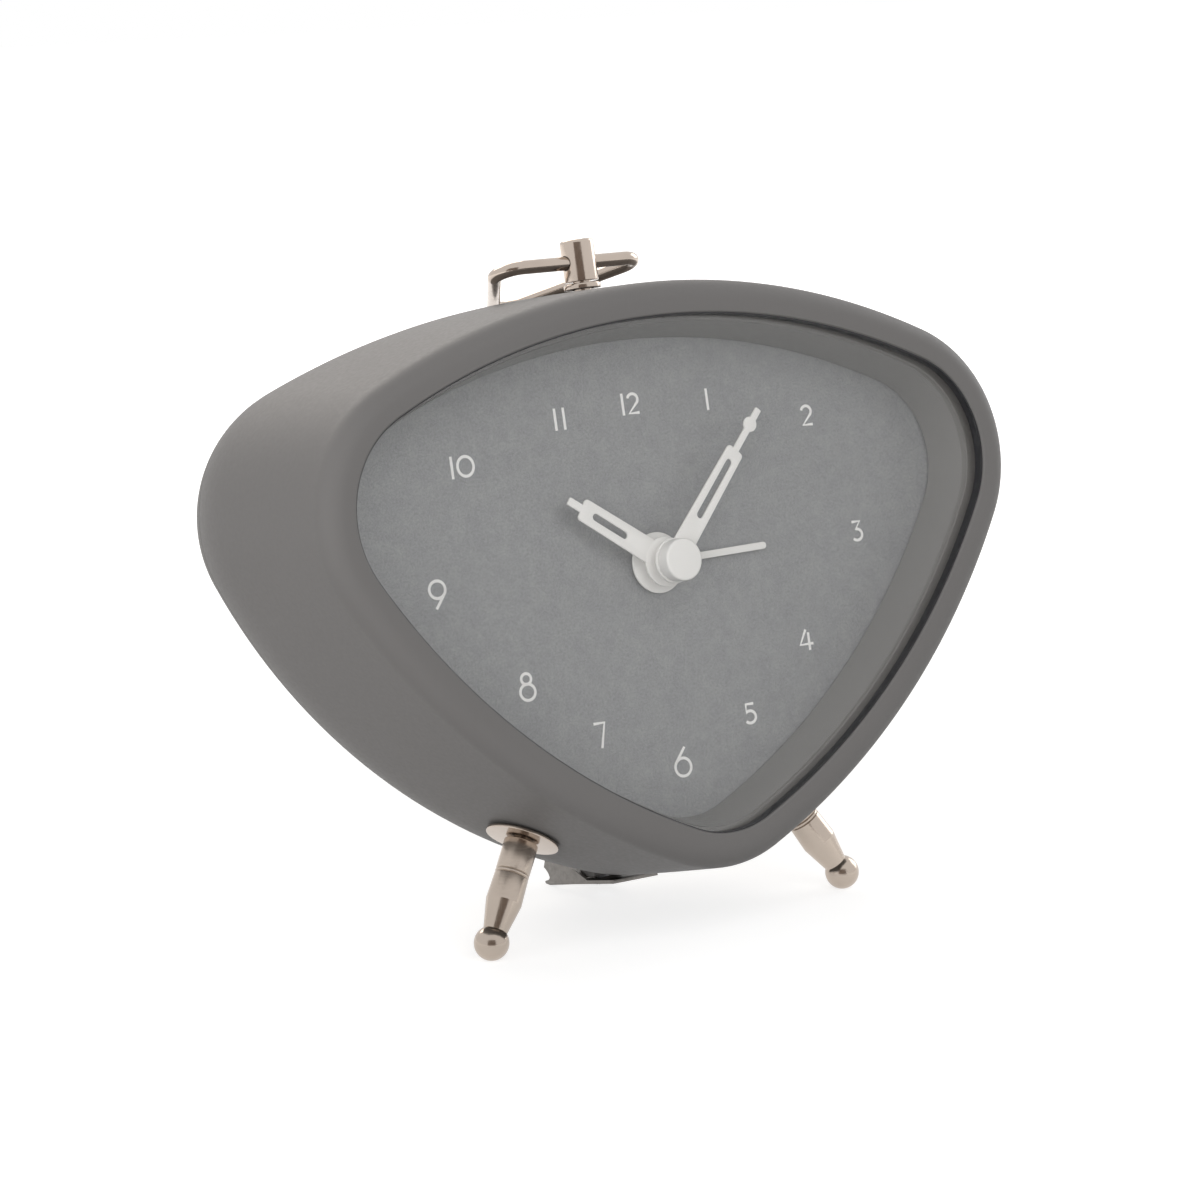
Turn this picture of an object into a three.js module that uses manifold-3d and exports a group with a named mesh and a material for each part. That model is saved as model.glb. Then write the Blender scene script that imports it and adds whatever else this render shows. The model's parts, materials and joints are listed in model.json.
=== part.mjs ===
// A triangle alarm clock: a painted case with three rounded corners that leans back on two
// turned ball legs and a sheet stand, a triangular wire bail on top, and a quartz alarm
// movement inside. Millimetres.
//
// Everything is drawn in the clock's own frame: x to the right of someone who reads the
// dial, y into the clock, z up along the dial, with the origin where the hands' axis meets
// the front of the dial. The finished clock is then leaned back and stood on z = 0.

import * as THREE from 'three';
import { mergeVertices } from 'three/addons/utils/BufferGeometryUtils.js';
import Module from 'manifold-3d';

const wasm = await Module();
wasm.setup();

const degrees = Math.PI / 180;
const lean = 14 * degrees;

// Clearances
const seatGap = 0.3; // between pieces that rest on each other
const runGap = 0.1; // between a shaft and its bore

// Case outline, seen from the front: four radii and three extents
const caseHalfWidth = 64.25;
const caseTop = 43;
const caseBottom = -47.8;
const topRadius = 120;
const shoulderRadius = 22;
const flankRadius = 115.6;
const chinRadius = 22;

// The case swells from its rim to its widest section, where three radii differ too
const sideSwell = 2.2;
const topSwell = 1.15;
const bottomSwell = 0.9;
const topRadiusBack = 142.5;
const flankRadiusBack = 95.6;
const chinRadiusBack = 19.4;

// Case shell: pressed sheet with its front turned inwards
const rimFront = -12;
const jointDepth = 36; // from the front of the rim to the back cover
const caseWall = 0.8;
const rimRound = 3.5;
const rimWidth = 5.4;
const rimEdge = 0.35;

// Glazing
const gasketDepth = 0.8;
const lensThickness = 1.2;
const lensInset = 2.1;
const bezelWall = 1.2;
const bezelFrontInset = 6;
const dialInset = 8; // visible edge of the dial
const dialThickness = 0.5;
const carrierThickness = 1.5;

// Towards its flat back the case turns in along a quarter of an ellipse
const backInset = 14.5;
const backCurve = 20;

// Back cover and chassis
const coverDepth = 12; // from the joint to the flat back
const coverWall = 2;
const spigotWall = 1.5;
const spigotDepth = 3.2;
const chassisWall = 1.6;
const towerRadius = 3.2;
const coverHead = 2.6; // radius of the cover screws' heads
const coverHeadHeight = 1.5;
const movementHead = 2.2;
const movementHeadHeight = 1.2;
const towerArm = 5;
const coverScrewX = caseHalfWidth - 16;
const coverScrewZ = 14;
const chinScrewZ = caseBottom + 18.2;

// Legs
const legSeatX = 24.85;
const legSeatY = 9.1;
const legRadius = 2.7;
const legBody = 9.9; // straight part
const legTaper = 4.7;
const legNeckRadius = 1.9;
const legBallRadius = 2.75;
const grooveAt = 5;
const grooveDepth = 0.2;
const grooveWidth = 0.9;
const footFlat = 0.15; // how much of each ball is worn flat
const washerRadius = 5.8;
const washerThickness = 0.5;
const studRadius = 1.5;
const nutWidth = 5.5;
const nutHeight = 2.4;

// Rear stand, and the pad under the cover that carries it
const standWidth = 8.6;
const standSheet = 0.6;
const standTongue = 7; // its flat front, under the case
const standLength = 12.7; // from the joint to the toe
const standRise = 5.2; // from its flat front up to its back
const standScrewRadius = 1.1;
const standHead = 1.5;
const standHeadHeight = 0.45;
const standHook = 2.7; // from its toe up to the top of the notch over it
const padHalf = 2.9;
const padLength = 3.9;

// Bail and its post
const postY = 8.9;
const postRadius = 2.7;
const postHeight = 6.6;
const postEdge = 0.6;
const barHeight = 3.05; // bail bar above the foot of the post
const collarRadius = 2.95;
const collarHeight = 0.9;
const bailWire = 2.2;
const bailSide = 29.6;
const bailCorner = 3;
const bailShift = -1.05;
const bailGap = 1.2; // from its wire to the case's top when it is folded back or forward

// Hands: each lies between two heights in front of the dial
const handSheet = 0.4;
const alarmHandY = -0.6;
const hourHandY = -2.9;
const minuteHandY = -5.1;
const alarmHandLength = 21;
const hourHandLength = 20;
const minuteHandLength = 29.4;
const alarmHubRadius = 4.75;
const hourHubRadius = 3.9;
const minuteHubRadius = 3.5;
const capRadius = 3.3;
const capLength = 2.5;
const handTime = { alarm: 89, hour: -55.5, minute: 42.5 }; // degrees right of twelve

// Movement: a flat box behind the dial carrier
const movementHalfX = 26;
const movementHalfZ = 25;
const movementCorner = 3;
const plateThickness = 1.2;
const housingWall = 1.2;
const housingBackWall = 1.4;
const wheelSheet = 0.7;
const wheelPitch = 1.3; // from one wheel's plane to the next
const arborRadius = 0.45;
const stemRadius = 0.8;
const noseRadius = 3.6;
const alarmPipeRadius = 2.1;
const hourPipeRadius = 1.35;
const minuteArborRadius = 0.6;
const pipeWall = 0.55;
const fixingPlace = 21.5;
const fixingPostRadius = 2.4;

// Motion work behind the dial, and the alarm setting
const motionModule = 0.5;
const cannonTeeth = 10;
const minuteWheelTeeth = 30;
const minutePinionTeeth = 8;
const hourWheelTeeth = 32;
const alarmWheelTeeth = 28;
const alarmPinionTeeth = 14;
const minuteArborAngle = -35;
const alarmArborAngle = 215;

// Going train from the rotor to the centre wheel
const trainModule = 0.35;
const leaves = 6;
const centreWheelTeeth = 48;
const thirdWheelTeeth = 45;
const fourthWheelTeeth = 36;
const fifthWheelTeeth = 30;
const magnetRadius = 3;

// Battery compartment
const cellRadius = 7.2;
const cellLength = 49.3;
const cellNub = 1.2;
const cellNubRadius = 2.7;
const wellWall = 1.2;
const wellZ = 16.5;
const springRoom = 2.8;
const contactSheet = 0.4;
const contactWidth = 8;
const doorThickness = 1.5;

// Knobs, alarm switch and buzzer
const knobRadius = 5;
const knobLength = 4.6;
const knobStemRadius = 1.7;
const switchHalf = 3; // half the width of its cap and of its foot
const switchStemHalf = 1.5;
const switchGap = 2.65; // from the battery well to the switch's foot
const switchZ = 10;
const switchTravel = 4;
const buzzerRadius = 7.5;
const buzzerDepth = 4;
const buzzerZ = -18.5;

// Heights behind the dial, each worked out from the one before
const jointY = rimFront + jointDepth;
const standFront = jointY - standTongue;
const padFront = jointY + seatGap + 0.2;
const padBack = padFront + padLength;
const standScrewY = (padFront + padBack) / 2;
const toeReach = jointY + standLength;
const backY = jointY + coverDepth;
const coverInner = backY - coverWall;
const gasketFront = rimFront + caseWall + seatGap;
const lensFront = gasketFront + gasketDepth + seatGap;
const lensBack = lensFront + lensThickness;
const carrierFront = dialThickness + seatGap;
const carrierBack = carrierFront + carrierThickness;
const postEnd = carrierBack + 1.7;
const plateFront = postEnd + seatGap;
const plateBack = plateFront + plateThickness;
const alarmPlane = plateBack + 0.5;
const hourPlane = alarmPlane + wheelPitch;
const minutePlane = hourPlane + wheelPitch;
const centrePlane = minutePlane + wheelPitch;
const thirdPlane = centrePlane + wheelPitch;
const fourthPlane = thirdPlane + wheelPitch;
const fifthPlane = fourthPlane + wheelPitch;
const housingInner = fifthPlane + 2;
const housingBack = housingInner + housingBackWall;
const pivotFront = plateBack - 0.6;
const pivotBack = housingInner + 0.6;
const wellFront = housingBack + 0.6;
const cellY = wellFront + wellWall + seatGap + cellRadius;

const steel = { metalness: 1, roughness: 0.3 };
const finish = {
  paint: new THREE.MeshStandardMaterial({ color: 0x6f6e6e, metalness: 0, roughness: 0.62 }),
  taupe: new THREE.MeshStandardMaterial({ color: 0x75716c, metalness: 0, roughness: 0.5 }),
  dial: new THREE.MeshStandardMaterial({ color: 0x8a8c90, metalness: 0.4, roughness: 0.5 }),
  glass: new THREE.MeshStandardMaterial({ color: 0xdfe6e6, roughness: 0.05, transparent: true, opacity: 0.2 }),
  rubber: new THREE.MeshStandardMaterial({ color: 0x1d1d1f, metalness: 0, roughness: 0.7 }),
  hands: new THREE.MeshStandardMaterial({ color: 0xdcd9d4, metalness: 0, roughness: 0.55 }),
  nickel: new THREE.MeshStandardMaterial({ color: 0xb9aa9c, ...steel }),
  zinc: new THREE.MeshStandardMaterial({ color: 0xa9adb2, ...steel }),
  brass: new THREE.MeshStandardMaterial({ color: 0xb8934a, ...steel }),
  copper: new THREE.MeshStandardMaterial({ color: 0xa8552c, metalness: 1, roughness: 0.4 }),
  black: new THREE.MeshStandardMaterial({ color: 0x26272a, metalness: 0, roughness: 0.6 }),
  natural: new THREE.MeshStandardMaterial({ color: 0xe4e1d6, metalness: 0, roughness: 0.5 }),
  board: new THREE.MeshStandardMaterial({ color: 0x1f5a37, metalness: 0, roughness: 0.5 }),
  cell: new THREE.MeshStandardMaterial({ color: 0x3a4657, metalness: 0.3, roughness: 0.4 }),
  red: new THREE.MeshStandardMaterial({ color: 0xa3241c, metalness: 0, roughness: 0.5 })
};

// Turns a surface inside out if its faces point inwards
function outward(geometry) {
  const place = geometry.getAttribute('position');
  const index = geometry.index.array;
  const corner = n => new THREE.Vector3().fromBufferAttribute(place, index[n]);
  let volume = 0;
  for (let n = 0; n < index.length; n += 3) {
    volume += corner(n).dot(corner(n + 1).cross(corner(n + 2)));
  }
  if (volume < 0) {
    for (let n = 0; n < index.length; n += 3) {
      [index[n], index[n + 1]] = [index[n + 1], index[n]];
    }
  }
  return geometry;
}

// Only the places and the triangles, with shared corners merged
function bare(geometry) {
  const copy = geometry.clone();
  copy.deleteAttribute('normal');
  copy.deleteAttribute('uv');
  return outward(mergeVertices(copy, 1e-4));
}

function toSolid(geometry) {
  const plain = bare(geometry);
  return new wasm.Manifold(new wasm.Mesh({
    numProp: 3,
    vertProperties: new Float32Array(plain.getAttribute('position').array),
    triVerts: new Uint32Array(plain.index.array)
  }));
}

function toGeometry(solid) {
  const mesh = solid.getMesh();
  const geometry = new THREE.BufferGeometry();
  geometry.setAttribute('position', new THREE.BufferAttribute(new Float32Array(mesh.vertProperties), 3));
  geometry.setIndex(Array.from(mesh.triVerts));
  return geometry;
}

function joined(first, ...others) {
  return toGeometry(others.reduce((solid, other) => solid.add(toSolid(other)), toSolid(first)));
}

function cutBy(body, ...tools) {
  return toGeometry(tools.reduce((solid, tool) => solid.subtract(toSolid(tool)), toSolid(body)));
}

// Rings of points skinned into one surface: closed on itself, or with flat convex ends
function skin(rings, loop) {
  const count = rings[0].length;
  const places = rings.flat().flatMap(point => [point.x, point.y, point.z]);
  const index = [];
  const spans = loop ? rings.length : rings.length - 1;
  for (let r = 0; r < spans; r++) {
    const here = r * count;
    const next = ((r + 1) % rings.length) * count;
    for (let i = 0; i < count; i++) {
      const j = (i + 1) % count;
      index.push(here + i, next + i, next + j, here + i, next + j, here + j);
    }
  }
  if (!loop) {
    const end = (rings.length - 1) * count;
    for (let i = 1; i < count - 1; i++) {
      index.push(0, i, i + 1, end, end + i + 1, end + i);
    }
  }
  const geometry = new THREE.BufferGeometry();
  geometry.setAttribute('position', new THREE.Float32BufferAttribute(places, 3));
  geometry.setIndex(index);
  return outward(geometry);
}

// How far the case has swollen at a depth: 0 at the rim, 1 at the joint and behind it
function swellAt(y) {
  const start = rimFront + rimRound;
  const share = THREE.MathUtils.clamp((y - start) / (jointY - start), 0, 1);
  return Math.sin(share * Math.PI / 2);
}

// How far the case has turned in at a depth, on its way to the flat back
function tuckAt(y) {
  const share = THREE.MathUtils.clamp((y - backY + backCurve) / backCurve, 0, 1);
  return backInset * (1 - Math.sqrt(1 - share ** 2));
}

// Centre of the arc that touches two smaller arcs from outside, on the left of both
function arcCentre(a, reachA, b, reachB) {
  const span = a.distanceTo(b);
  const along = (reachA ** 2 - reachB ** 2 + span ** 2) / (2 * span);
  const aside = Math.sqrt(reachA ** 2 - along ** 2);
  const way = b.clone().sub(a).divideScalar(span);
  return new THREE.Vector2(a.x + along * way.x + aside * way.y, a.y + along * way.y - aside * way.x);
}

// The four arcs of the case's right half at a swell
function caseArcs(swell) {
  const grown = (front, back) => THREE.MathUtils.lerp(front, back, swell);
  const arc = (x, y, radius) => ({ centre: new THREE.Vector2(x, y), radius });
  const topRound = grown(topRadius, topRadiusBack);
  const flankRound = grown(flankRadius, flankRadiusBack);
  const chinRound = grown(chinRadius, chinRadiusBack);
  const reach = caseHalfWidth + sideSwell * swell - shoulderRadius;
  const top = arc(0, caseTop + topSwell * swell - topRound, topRound);
  const rise = Math.sqrt((topRound - shoulderRadius) ** 2 - reach ** 2);
  const shoulder = arc(reach, top.centre.y + rise, shoulderRadius);
  const chin = arc(0, caseBottom - bottomSwell * swell + chinRound, chinRound);
  const toShoulder = flankRound - shoulderRadius;
  const between = arcCentre(shoulder.centre, toShoulder, chin.centre, flankRound - chinRound);
  return { top, shoulder, flank: { centre: between, radius: flankRound }, chin };
}

// Case outline at a distance inside the wall, clockwise from the top
function outline(inset, swell = 0) {
  const { top, shoulder, flank, chin } = caseArcs(swell);
  const heading = (from, to) => Math.atan2(to.centre.y - from.centre.y, to.centre.x - from.centre.x);
  const turns = [Math.PI / 2, heading(top, shoulder), heading(flank, shoulder), heading(flank, chin), -Math.PI / 2];
  const arcs = [
    { ...top, steps: 4 },
    { ...shoulder, steps: 7 },
    { ...flank, steps: 6 },
    { ...chin, steps: 3 }
  ];
  const right = [];
  arcs.forEach(({ centre, radius, steps }, n) => {
    for (let i = 0; i < steps; i++) {
      const turn = THREE.MathUtils.lerp(turns[n], turns[n + 1], i / steps);
      right.push(new THREE.Vector2(
        centre.x + (radius - inset) * Math.cos(turn),
        centre.y + (radius - inset) * Math.sin(turn)
      ));
    }
  });
  const bottom = new THREE.Vector2(0, chin.centre.y - chin.radius + inset);
  const left = right.slice(1).reverse().map(point => new THREE.Vector2(-point.x, point.y));
  return [...right, bottom, ...left];
}

// A profile corner that follows the swollen wall
const wall = (inset, y) => [inset + tuckAt(y), y, swellAt(y)];

function sections(profile) {
  return profile.map(([inset, y, swell = 0]) =>
    outline(inset, swell).map(point => new THREE.Vector3(point.x, y, point.y)));
}

const hoop = profile => skin(sections(profile), true);
const slab = profile => skin(sections(profile), false);

// Turned about the y axis, from pairs of radius and y
function turned(profile, segments = 16) {
  const points = profile.map(([radius, y]) => new THREE.Vector2(radius, y));
  return bare(new THREE.LatheGeometry(points, segments));
}

function rod(radius, from, to, segments = 16) {
  return turned([[0, from], [radius, from], [radius, to], [0, to]], segments);
}

// A rod whose flats clear a round shaft of the given radius
function boreTool(radius, from, to, segments = 12) {
  return rod(radius / Math.cos(Math.PI / segments), from, to, segments);
}

function at(geometry, x, z, y = 0) {
  return geometry.translate(x, y, z);
}

function box(from, to) {
  const low = new THREE.Vector3(...from);
  const high = new THREE.Vector3(...to);
  const size = high.clone().sub(low);
  const middle = low.add(high).multiplyScalar(0.5);
  return bare(new THREE.BoxGeometry(size.x, size.y, size.z).translate(middle.x, middle.y, middle.z));
}

// A flat shape, drawn in x and z, made as thick as the way from front to back
function plate(shape, front, back, curveSegments = 6) {
  const settings = { depth: back - front, bevelEnabled: false, curveSegments };
  return bare(new THREE.ExtrudeGeometry(shape, settings).rotateX(Math.PI / 2).translate(0, back, 0));
}

function roundedBox(halfX, halfZ, corner) {
  const shape = new THREE.Shape();
  shape.moveTo(halfX, halfZ - corner);
  shape.absarc(halfX - corner, halfZ - corner, corner, 0, Math.PI / 2);
  shape.absarc(corner - halfX, halfZ - corner, corner, Math.PI / 2, Math.PI);
  shape.absarc(corner - halfX, corner - halfZ, corner, Math.PI, Math.PI * 1.5);
  shape.absarc(halfX - corner, corner - halfZ, corner, Math.PI * 1.5, Math.PI * 2);
  return shape;
}

// Turns a piece made along y so that it stands along an axis from a seat
function stoodOn(geometry, seat, axis) {
  const turn = new THREE.Quaternion().setFromUnitVectors(new THREE.Vector3(0, 1, 0), axis);
  return geometry.applyQuaternion(turn).translate(seat.x, seat.y, seat.z);
}

const clock = new THREE.Group();
clock.rotation.x = -lean;

function add(name, geometry, material) {
  const mesh = new THREE.Mesh(geometry, material);
  mesh.name = name;
  clock.add(mesh);
}

// Height of the case's top and of its bottom along the middle, at a depth
const crownAt = y => caseTop + topSwell * swellAt(y) - tuckAt(y);
const keelAt = y => caseBottom - bottomSwell * swellAt(y) + tuckAt(y);

// Points and outward normals on the case's wall, where legs and post are seated
function flankSeat(x, y) {
  const height = depth => {
    const { centre: middle, radius } = caseArcs(swellAt(depth)).flank;
    return middle.y - Math.sqrt((radius - tuckAt(depth)) ** 2 - (x - middle.x) ** 2);
  };
  const { centre: middle } = caseArcs(swellAt(y)).flank;
  const seat = new THREE.Vector3(x, y, height(y));
  const across = new THREE.Vector3(x - middle.x, 0, seat.z - middle.y).normalize();
  const back = new THREE.Vector3(0, 1, height(y + 0.5) - height(y - 0.5)).normalize();
  const axis = across.addScaledVector(back, -across.dot(back)).normalize();
  return { seat, axis };
}

function mirrored({ seat, axis }) {
  return {
    seat: new THREE.Vector3(-seat.x, seat.y, seat.z),
    axis: new THREE.Vector3(-axis.x, axis.y, axis.z)
  };
}

const rightLeg = flankSeat(legSeatX, legSeatY);
const legs = { left: mirrored(rightLeg), right: rightLeg };
const postSeat = {
  seat: new THREE.Vector3(0, postY, crownAt(postY)),
  axis: new THREE.Vector3(0, 0, 1)
};

// How far the ground is below the hands' axis, from the flats on the balls of the legs
const ballAt = seatGap * 2 + washerThickness + legBody + legTaper
  + Math.sqrt(legBallRadius ** 2 - legNeckRadius ** 2);
const ballCentre = rightLeg.seat.clone().addScaledVector(rightLeg.axis, ballAt);
const standHeight = ballCentre.y * Math.sin(lean) - ballCentre.z * Math.cos(lean) + legBallRadius - footFlat;
const groundZ = y => (y * Math.sin(lean) - standHeight) / Math.cos(lean);

const stackDepth = caseWall + seatGap + chassisWall + 0.2; // curved walls that a stud goes through
const studEnd = -(stackDepth + seatGap + nutHeight + 0.8);

function makeStudHoles(from, to) {
  const hole = () => boreTool(studRadius + runGap, from, to, 12);
  return [
    stoodOn(hole(), legs.left.seat, legs.left.axis),
    stoodOn(hole(), legs.right.seat, legs.right.axis),
    stoodOn(hole(), postSeat.seat, postSeat.axis)
  ];
}

function makeCaseShell() {
  const rounded = (radius, steps) => Array.from({ length: steps + 1 }, (_, i) => {
    const turn = (i / steps) * Math.PI / 2;
    return [rimRound - radius * Math.cos(turn), rimFront + rimRound - radius * Math.sin(turn)];
  });
  const stations = [1, 0.88, 0.76, 0.5, 0.25].map(share => rimFront + rimRound + (jointDepth - rimRound) * share);
  const shell = hoop([
    ...stations.map(y => wall(0, y)),
    ...rounded(rimRound, 4),
    [rimWidth - rimEdge, rimFront],
    [rimWidth, rimFront + rimEdge],
    [rimWidth, rimFront + caseWall],
    ...rounded(rimRound - caseWall, 2).reverse(),
    ...stations.reverse().map(y => wall(caseWall, y))
  ]);
  return cutBy(shell, ...makeStudHoles(-3, 3));
}

function makeGlazing() {
  const front = lensFront - seatGap;
  const bezelFront = lensBack + seatGap;
  add('lens_gasket', hoop([
    [lensInset + 1, gasketFront],
    [rimWidth + 0.1, gasketFront],
    [rimWidth + 0.1, front],
    [lensInset + 0.6, front]
  ]), finish.rubber);
  add('lens', slab([[lensInset, lensFront], [lensInset, lensBack]]), finish.glass);
  add('inner_bezel', hoop([
    [caseWall + 2 * seatGap, bezelFront],
    [bezelFrontInset, bezelFront],
    [dialInset, -seatGap],
    [dialInset - bezelWall, -seatGap],
    [caseWall + 2 * seatGap, bezelFront + bezelWall]
  ]), finish.taupe);
}

function makeDial() {
  const noseHole = boreTool(noseRadius + seatGap, -1, carrierBack + 1);
  const dialEdge = caseWall + 2 * seatGap;
  add('dial_plate', cutBy(slab([[dialEdge, 0], [dialEdge, dialThickness]]), noseHole), finish.dial);
  const places = [[1, -1], [-1, -1]];
  const posts = places.map(([x, z]) =>
    at(rod(fixingPostRadius, carrierBack - 0.5, postEnd, 12), x * fixingPlace, z * fixingPlace));
  const pins = places.map(([x, z]) =>
    at(rod(fixingPostRadius / 2, carrierBack - 0.5, plateBack - 0.2, 10), x * fixingPlace, -z * fixingPlace));
  const pilots = places.map(([x, z]) =>
    at(boreTool(studRadius - 0.3, carrierBack - 0.8, postEnd + 1, 10), x * fixingPlace, z * fixingPlace));
  const board = slab([wall(dialEdge, carrierFront), wall(dialEdge, carrierBack)]);
  add('dial_carrier', cutBy(joined(board, ...posts, ...pins), noseHole, ...pilots), finish.black);
}

const towers = [[coverScrewX, coverScrewZ], [-coverScrewX, coverScrewZ], [0, chinScrewZ]];

function makeChassis() {
  const front = carrierBack + seatGap;
  const back = jointY - spigotDepth - seatGap;
  const outer = caseWall + seatGap;
  const stations = [front, (front + back) / 2, back];
  const band = hoop([
    ...stations.map(y => wall(outer, y)),
    ...stations.reverse().map(y => wall(outer + chassisWall, y))
  ]);
  const armFront = back - 2 * towerArm;
  const towerBack = coverInner - seatGap;
  const half = towerArm / 2;
  const inset = outer + chassisWall / 2;
  const reach = caseHalfWidth + sideSwell * swellAt(armFront) - inset;
  const floor = keelAt(armFront) + inset;
  const arms = [
    box([coverScrewX, armFront, coverScrewZ - half], [reach, back, coverScrewZ + half]),
    box([-reach, armFront, coverScrewZ - half], [-coverScrewX, back, coverScrewZ + half]),
    box([-half, armFront, floor], [half, back, chinScrewZ])
  ];
  const pillars = towers.map(([x, z]) => at(rod(towerRadius, armFront, towerBack, 12), x, z));
  const pilots = towers.map(([x, z]) => at(boreTool(studRadius - 0.1, armFront + 2, towerBack + 1, 10), x, z));
  const chassis = joined(band, ...arms, ...pillars);
  add('chassis', cutBy(chassis, ...pilots, ...makeStudHoles(-stackDepth - 2, 0)), finish.black);
}

// Turned leg with a threaded stud at its top; its axis points away from the case
function makeLeg(side) {
  const top = washerThickness + 2 * seatGap;
  const groove = top + grooveAt;
  const neck = top + legBody + legTaper;
  const start = Math.asin(legNeckRadius / legBallRadius);
  const ballSteps = 6;
  const ball = [];
  for (let i = 1; i < ballSteps; i++) {
    const turn = THREE.MathUtils.lerp(start, Math.PI, i / ballSteps);
    ball.push([legBallRadius * Math.sin(turn), ballAt - legBallRadius * Math.cos(turn)]);
  }
  const leg = turned([
    [0, studEnd],
    [studRadius, studEnd],
    [studRadius, top],
    [legRadius, top],
    [legRadius, groove],
    [legRadius - grooveDepth, groove + grooveDepth],
    [legRadius - grooveDepth, groove + grooveWidth - grooveDepth],
    [legRadius, groove + grooveWidth],
    [legRadius, top + legBody],
    [legNeckRadius, neck],
    ...ball,
    [0, ballAt + legBallRadius]
  ], 16);
  const { seat, axis } = legs[side];
  return cutBy(stoodOn(leg, seat, axis), makeGround());
}

// Everything below the surface that the clock stands on
function makeGround() {
  const size = 4 * caseHalfWidth;
  const ground = new THREE.BoxGeometry(size, size, size).translate(0, 0, -size / 2 - standHeight);
  return ground.rotateX(lean);
}

function makeWasher(radius, thickness, bore) {
  return turned([[bore, seatGap], [radius, seatGap], [radius, seatGap + thickness],
    [bore, seatGap + thickness], [bore, seatGap]], 18);
}

function makeNut() {
  const shape = new THREE.Shape();
  for (let i = 0; i < 6; i++) {
    const turn = i * Math.PI / 3;
    const corner = nutWidth / Math.sqrt(3);
    shape[i ? 'lineTo' : 'moveTo'](corner * Math.cos(turn), corner * Math.sin(turn));
  }
  const hole = boreTool(studRadius + runGap, -30, 30, 12);
  const back = -(stackDepth + seatGap);
  return cutBy(plate(shape, back - nutHeight, back), hole);
}

function makeLegs() {
  for (const side of ['left', 'right']) {
    const { seat, axis } = legs[side];
    const washer = makeWasher(washerRadius, washerThickness, studRadius + 0.2);
    add(`leg_${side}`, makeLeg(side), finish.nickel);
    add(`leg_washer_${side}`, stoodOn(washer, seat, axis), finish.nickel);
    add(`leg_nut_${side}`, stoodOn(makeNut(), seat, axis), finish.zinc);
  }
}

// Sheet channel under the back: a flat tongue screwed to the cover's pad, and two flanges that
// rise beside the pad and reach down to a hooked toe
const padBottom = caseBottom - bottomSwell;
const standTop = padBottom - seatGap;
const standBottom = standTop - standSheet;

// One flange from the side, with the tongue's front as its near end
function makeFlange(foldBack) {
  const toe = groundZ(toeReach);
  const side = new THREE.Shape();
  side.moveTo(standFront, standTop);
  side.lineTo(padFront, standTop);
  side.lineTo(foldBack.y, foldBack.z);
  side.lineTo(toeReach + 0.1, toe + standHook);
  side.quadraticCurveTo(toeReach - 0.9, toe + standHook * 0.75, toeReach - 1.2, toe + standHook * 0.45);
  side.quadraticCurveTo(toeReach - 1.4, toe + standHook * 0.2, toeReach + 0.1, toe + 0.5);
  side.lineTo(toeReach + 0.3, toe + 0.3);
  side.lineTo(toeReach + 0.1, groundZ(toeReach + 0.1) - 0.1);
  side.lineTo(toeReach - 1, groundZ(toeReach - 1));
  side.lineTo(padBack + 2.5, standBottom - 0.1);
  side.lineTo(padBack, standBottom);
  side.lineTo(standFront, standBottom);
  return side;
}

function makeStand() {
  const foldBack = new THREE.Vector3(0, toeReach - 1.4, standTop + standRise);
  const half = standWidth / 2;
  const channel = extrudeAcross(makeFlange(foldBack), -half, half);
  const barFront = toeReach - 1.1; // a bar across the toe joins the flanges
  const barTop = groundZ(toeReach) + 0.7;
  const slope = standRise / (foldBack.y - padBack);
  const past = toeReach + 3;
  const far = 9;
  const below = new THREE.Shape();
  below.moveTo(standFront - 2, standBottom);
  below.lineTo(padBack, standBottom);
  below.lineTo(past, standBottom + slope * (past - padBack));
  below.lineTo(past, barTop);
  below.lineTo(barFront, barTop);
  below.lineTo(barFront, standBottom - far);
  below.lineTo(standFront - 2, standBottom - far);
  const above = new THREE.Shape();
  above.moveTo(standFront - 2, standTop);
  above.lineTo(padBack, standTop);
  above.lineTo(past, standTop + slope * (past - padBack));
  above.lineTo(standFront - 2, standTop + far + standRise);
  const hollows = [below, above].map(shape => extrudeAcross(shape, standSheet - half, half - standSheet));
  const hole = boreTool(standScrewRadius + runGap, -3, 3, 12).rotateX(Math.PI / 2);
  return cutBy(channel, ...hollows, at(hole, 0, standBottom, standScrewY), makeGround());
}

// A shape drawn in y and z, extruded along x
function extrudeAcross(shape, from, to) {
  const settings = { depth: to - from, bevelEnabled: false, curveSegments: 5 };
  const solid = new THREE.ExtrudeGeometry(shape, settings);
  return bare(solid.rotateZ(Math.PI / 2).rotateY(Math.PI / 2).translate(from, 0, 0));
}

// Slotted screw along y: the head behind 0, the shank in front of it
function makeScrew(shankLength, shankRadius, headRadius, headHeight) {
  const screw = turned([
    [0, -shankLength],
    [shankRadius * 0.6, -shankLength],
    [shankRadius, -shankLength + shankRadius],
    [shankRadius, 0],
    [headRadius, 0],
    [headRadius, headHeight * 0.5],
    [headRadius * 0.75, headHeight],
    [0, headHeight]
  ], 10);
  const slot = box([-headRadius - 1, headHeight * 0.5, -0.35], [headRadius + 1, headHeight + 1, 0.35]);
  return cutBy(screw, slot);
}

function makeRearStand() {
  add('rear_stand', makeStand(), finish.nickel);
  const screw = makeScrew(seatGap + runGap + standSheet + 4.5, standScrewRadius, standHead, standHeadHeight);
  const seat = new THREE.Vector3(0, standScrewY, standBottom - runGap);
  add('stand_screw', stoodOn(screw, seat, new THREE.Vector3(0, 0, -1)), finish.zinc);
}

// Bail: a rounded triangle of wire whose first side runs along x through the post
const pivotZ = postSeat.seat.z + collarHeight + 2 * seatGap + barHeight;

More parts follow.
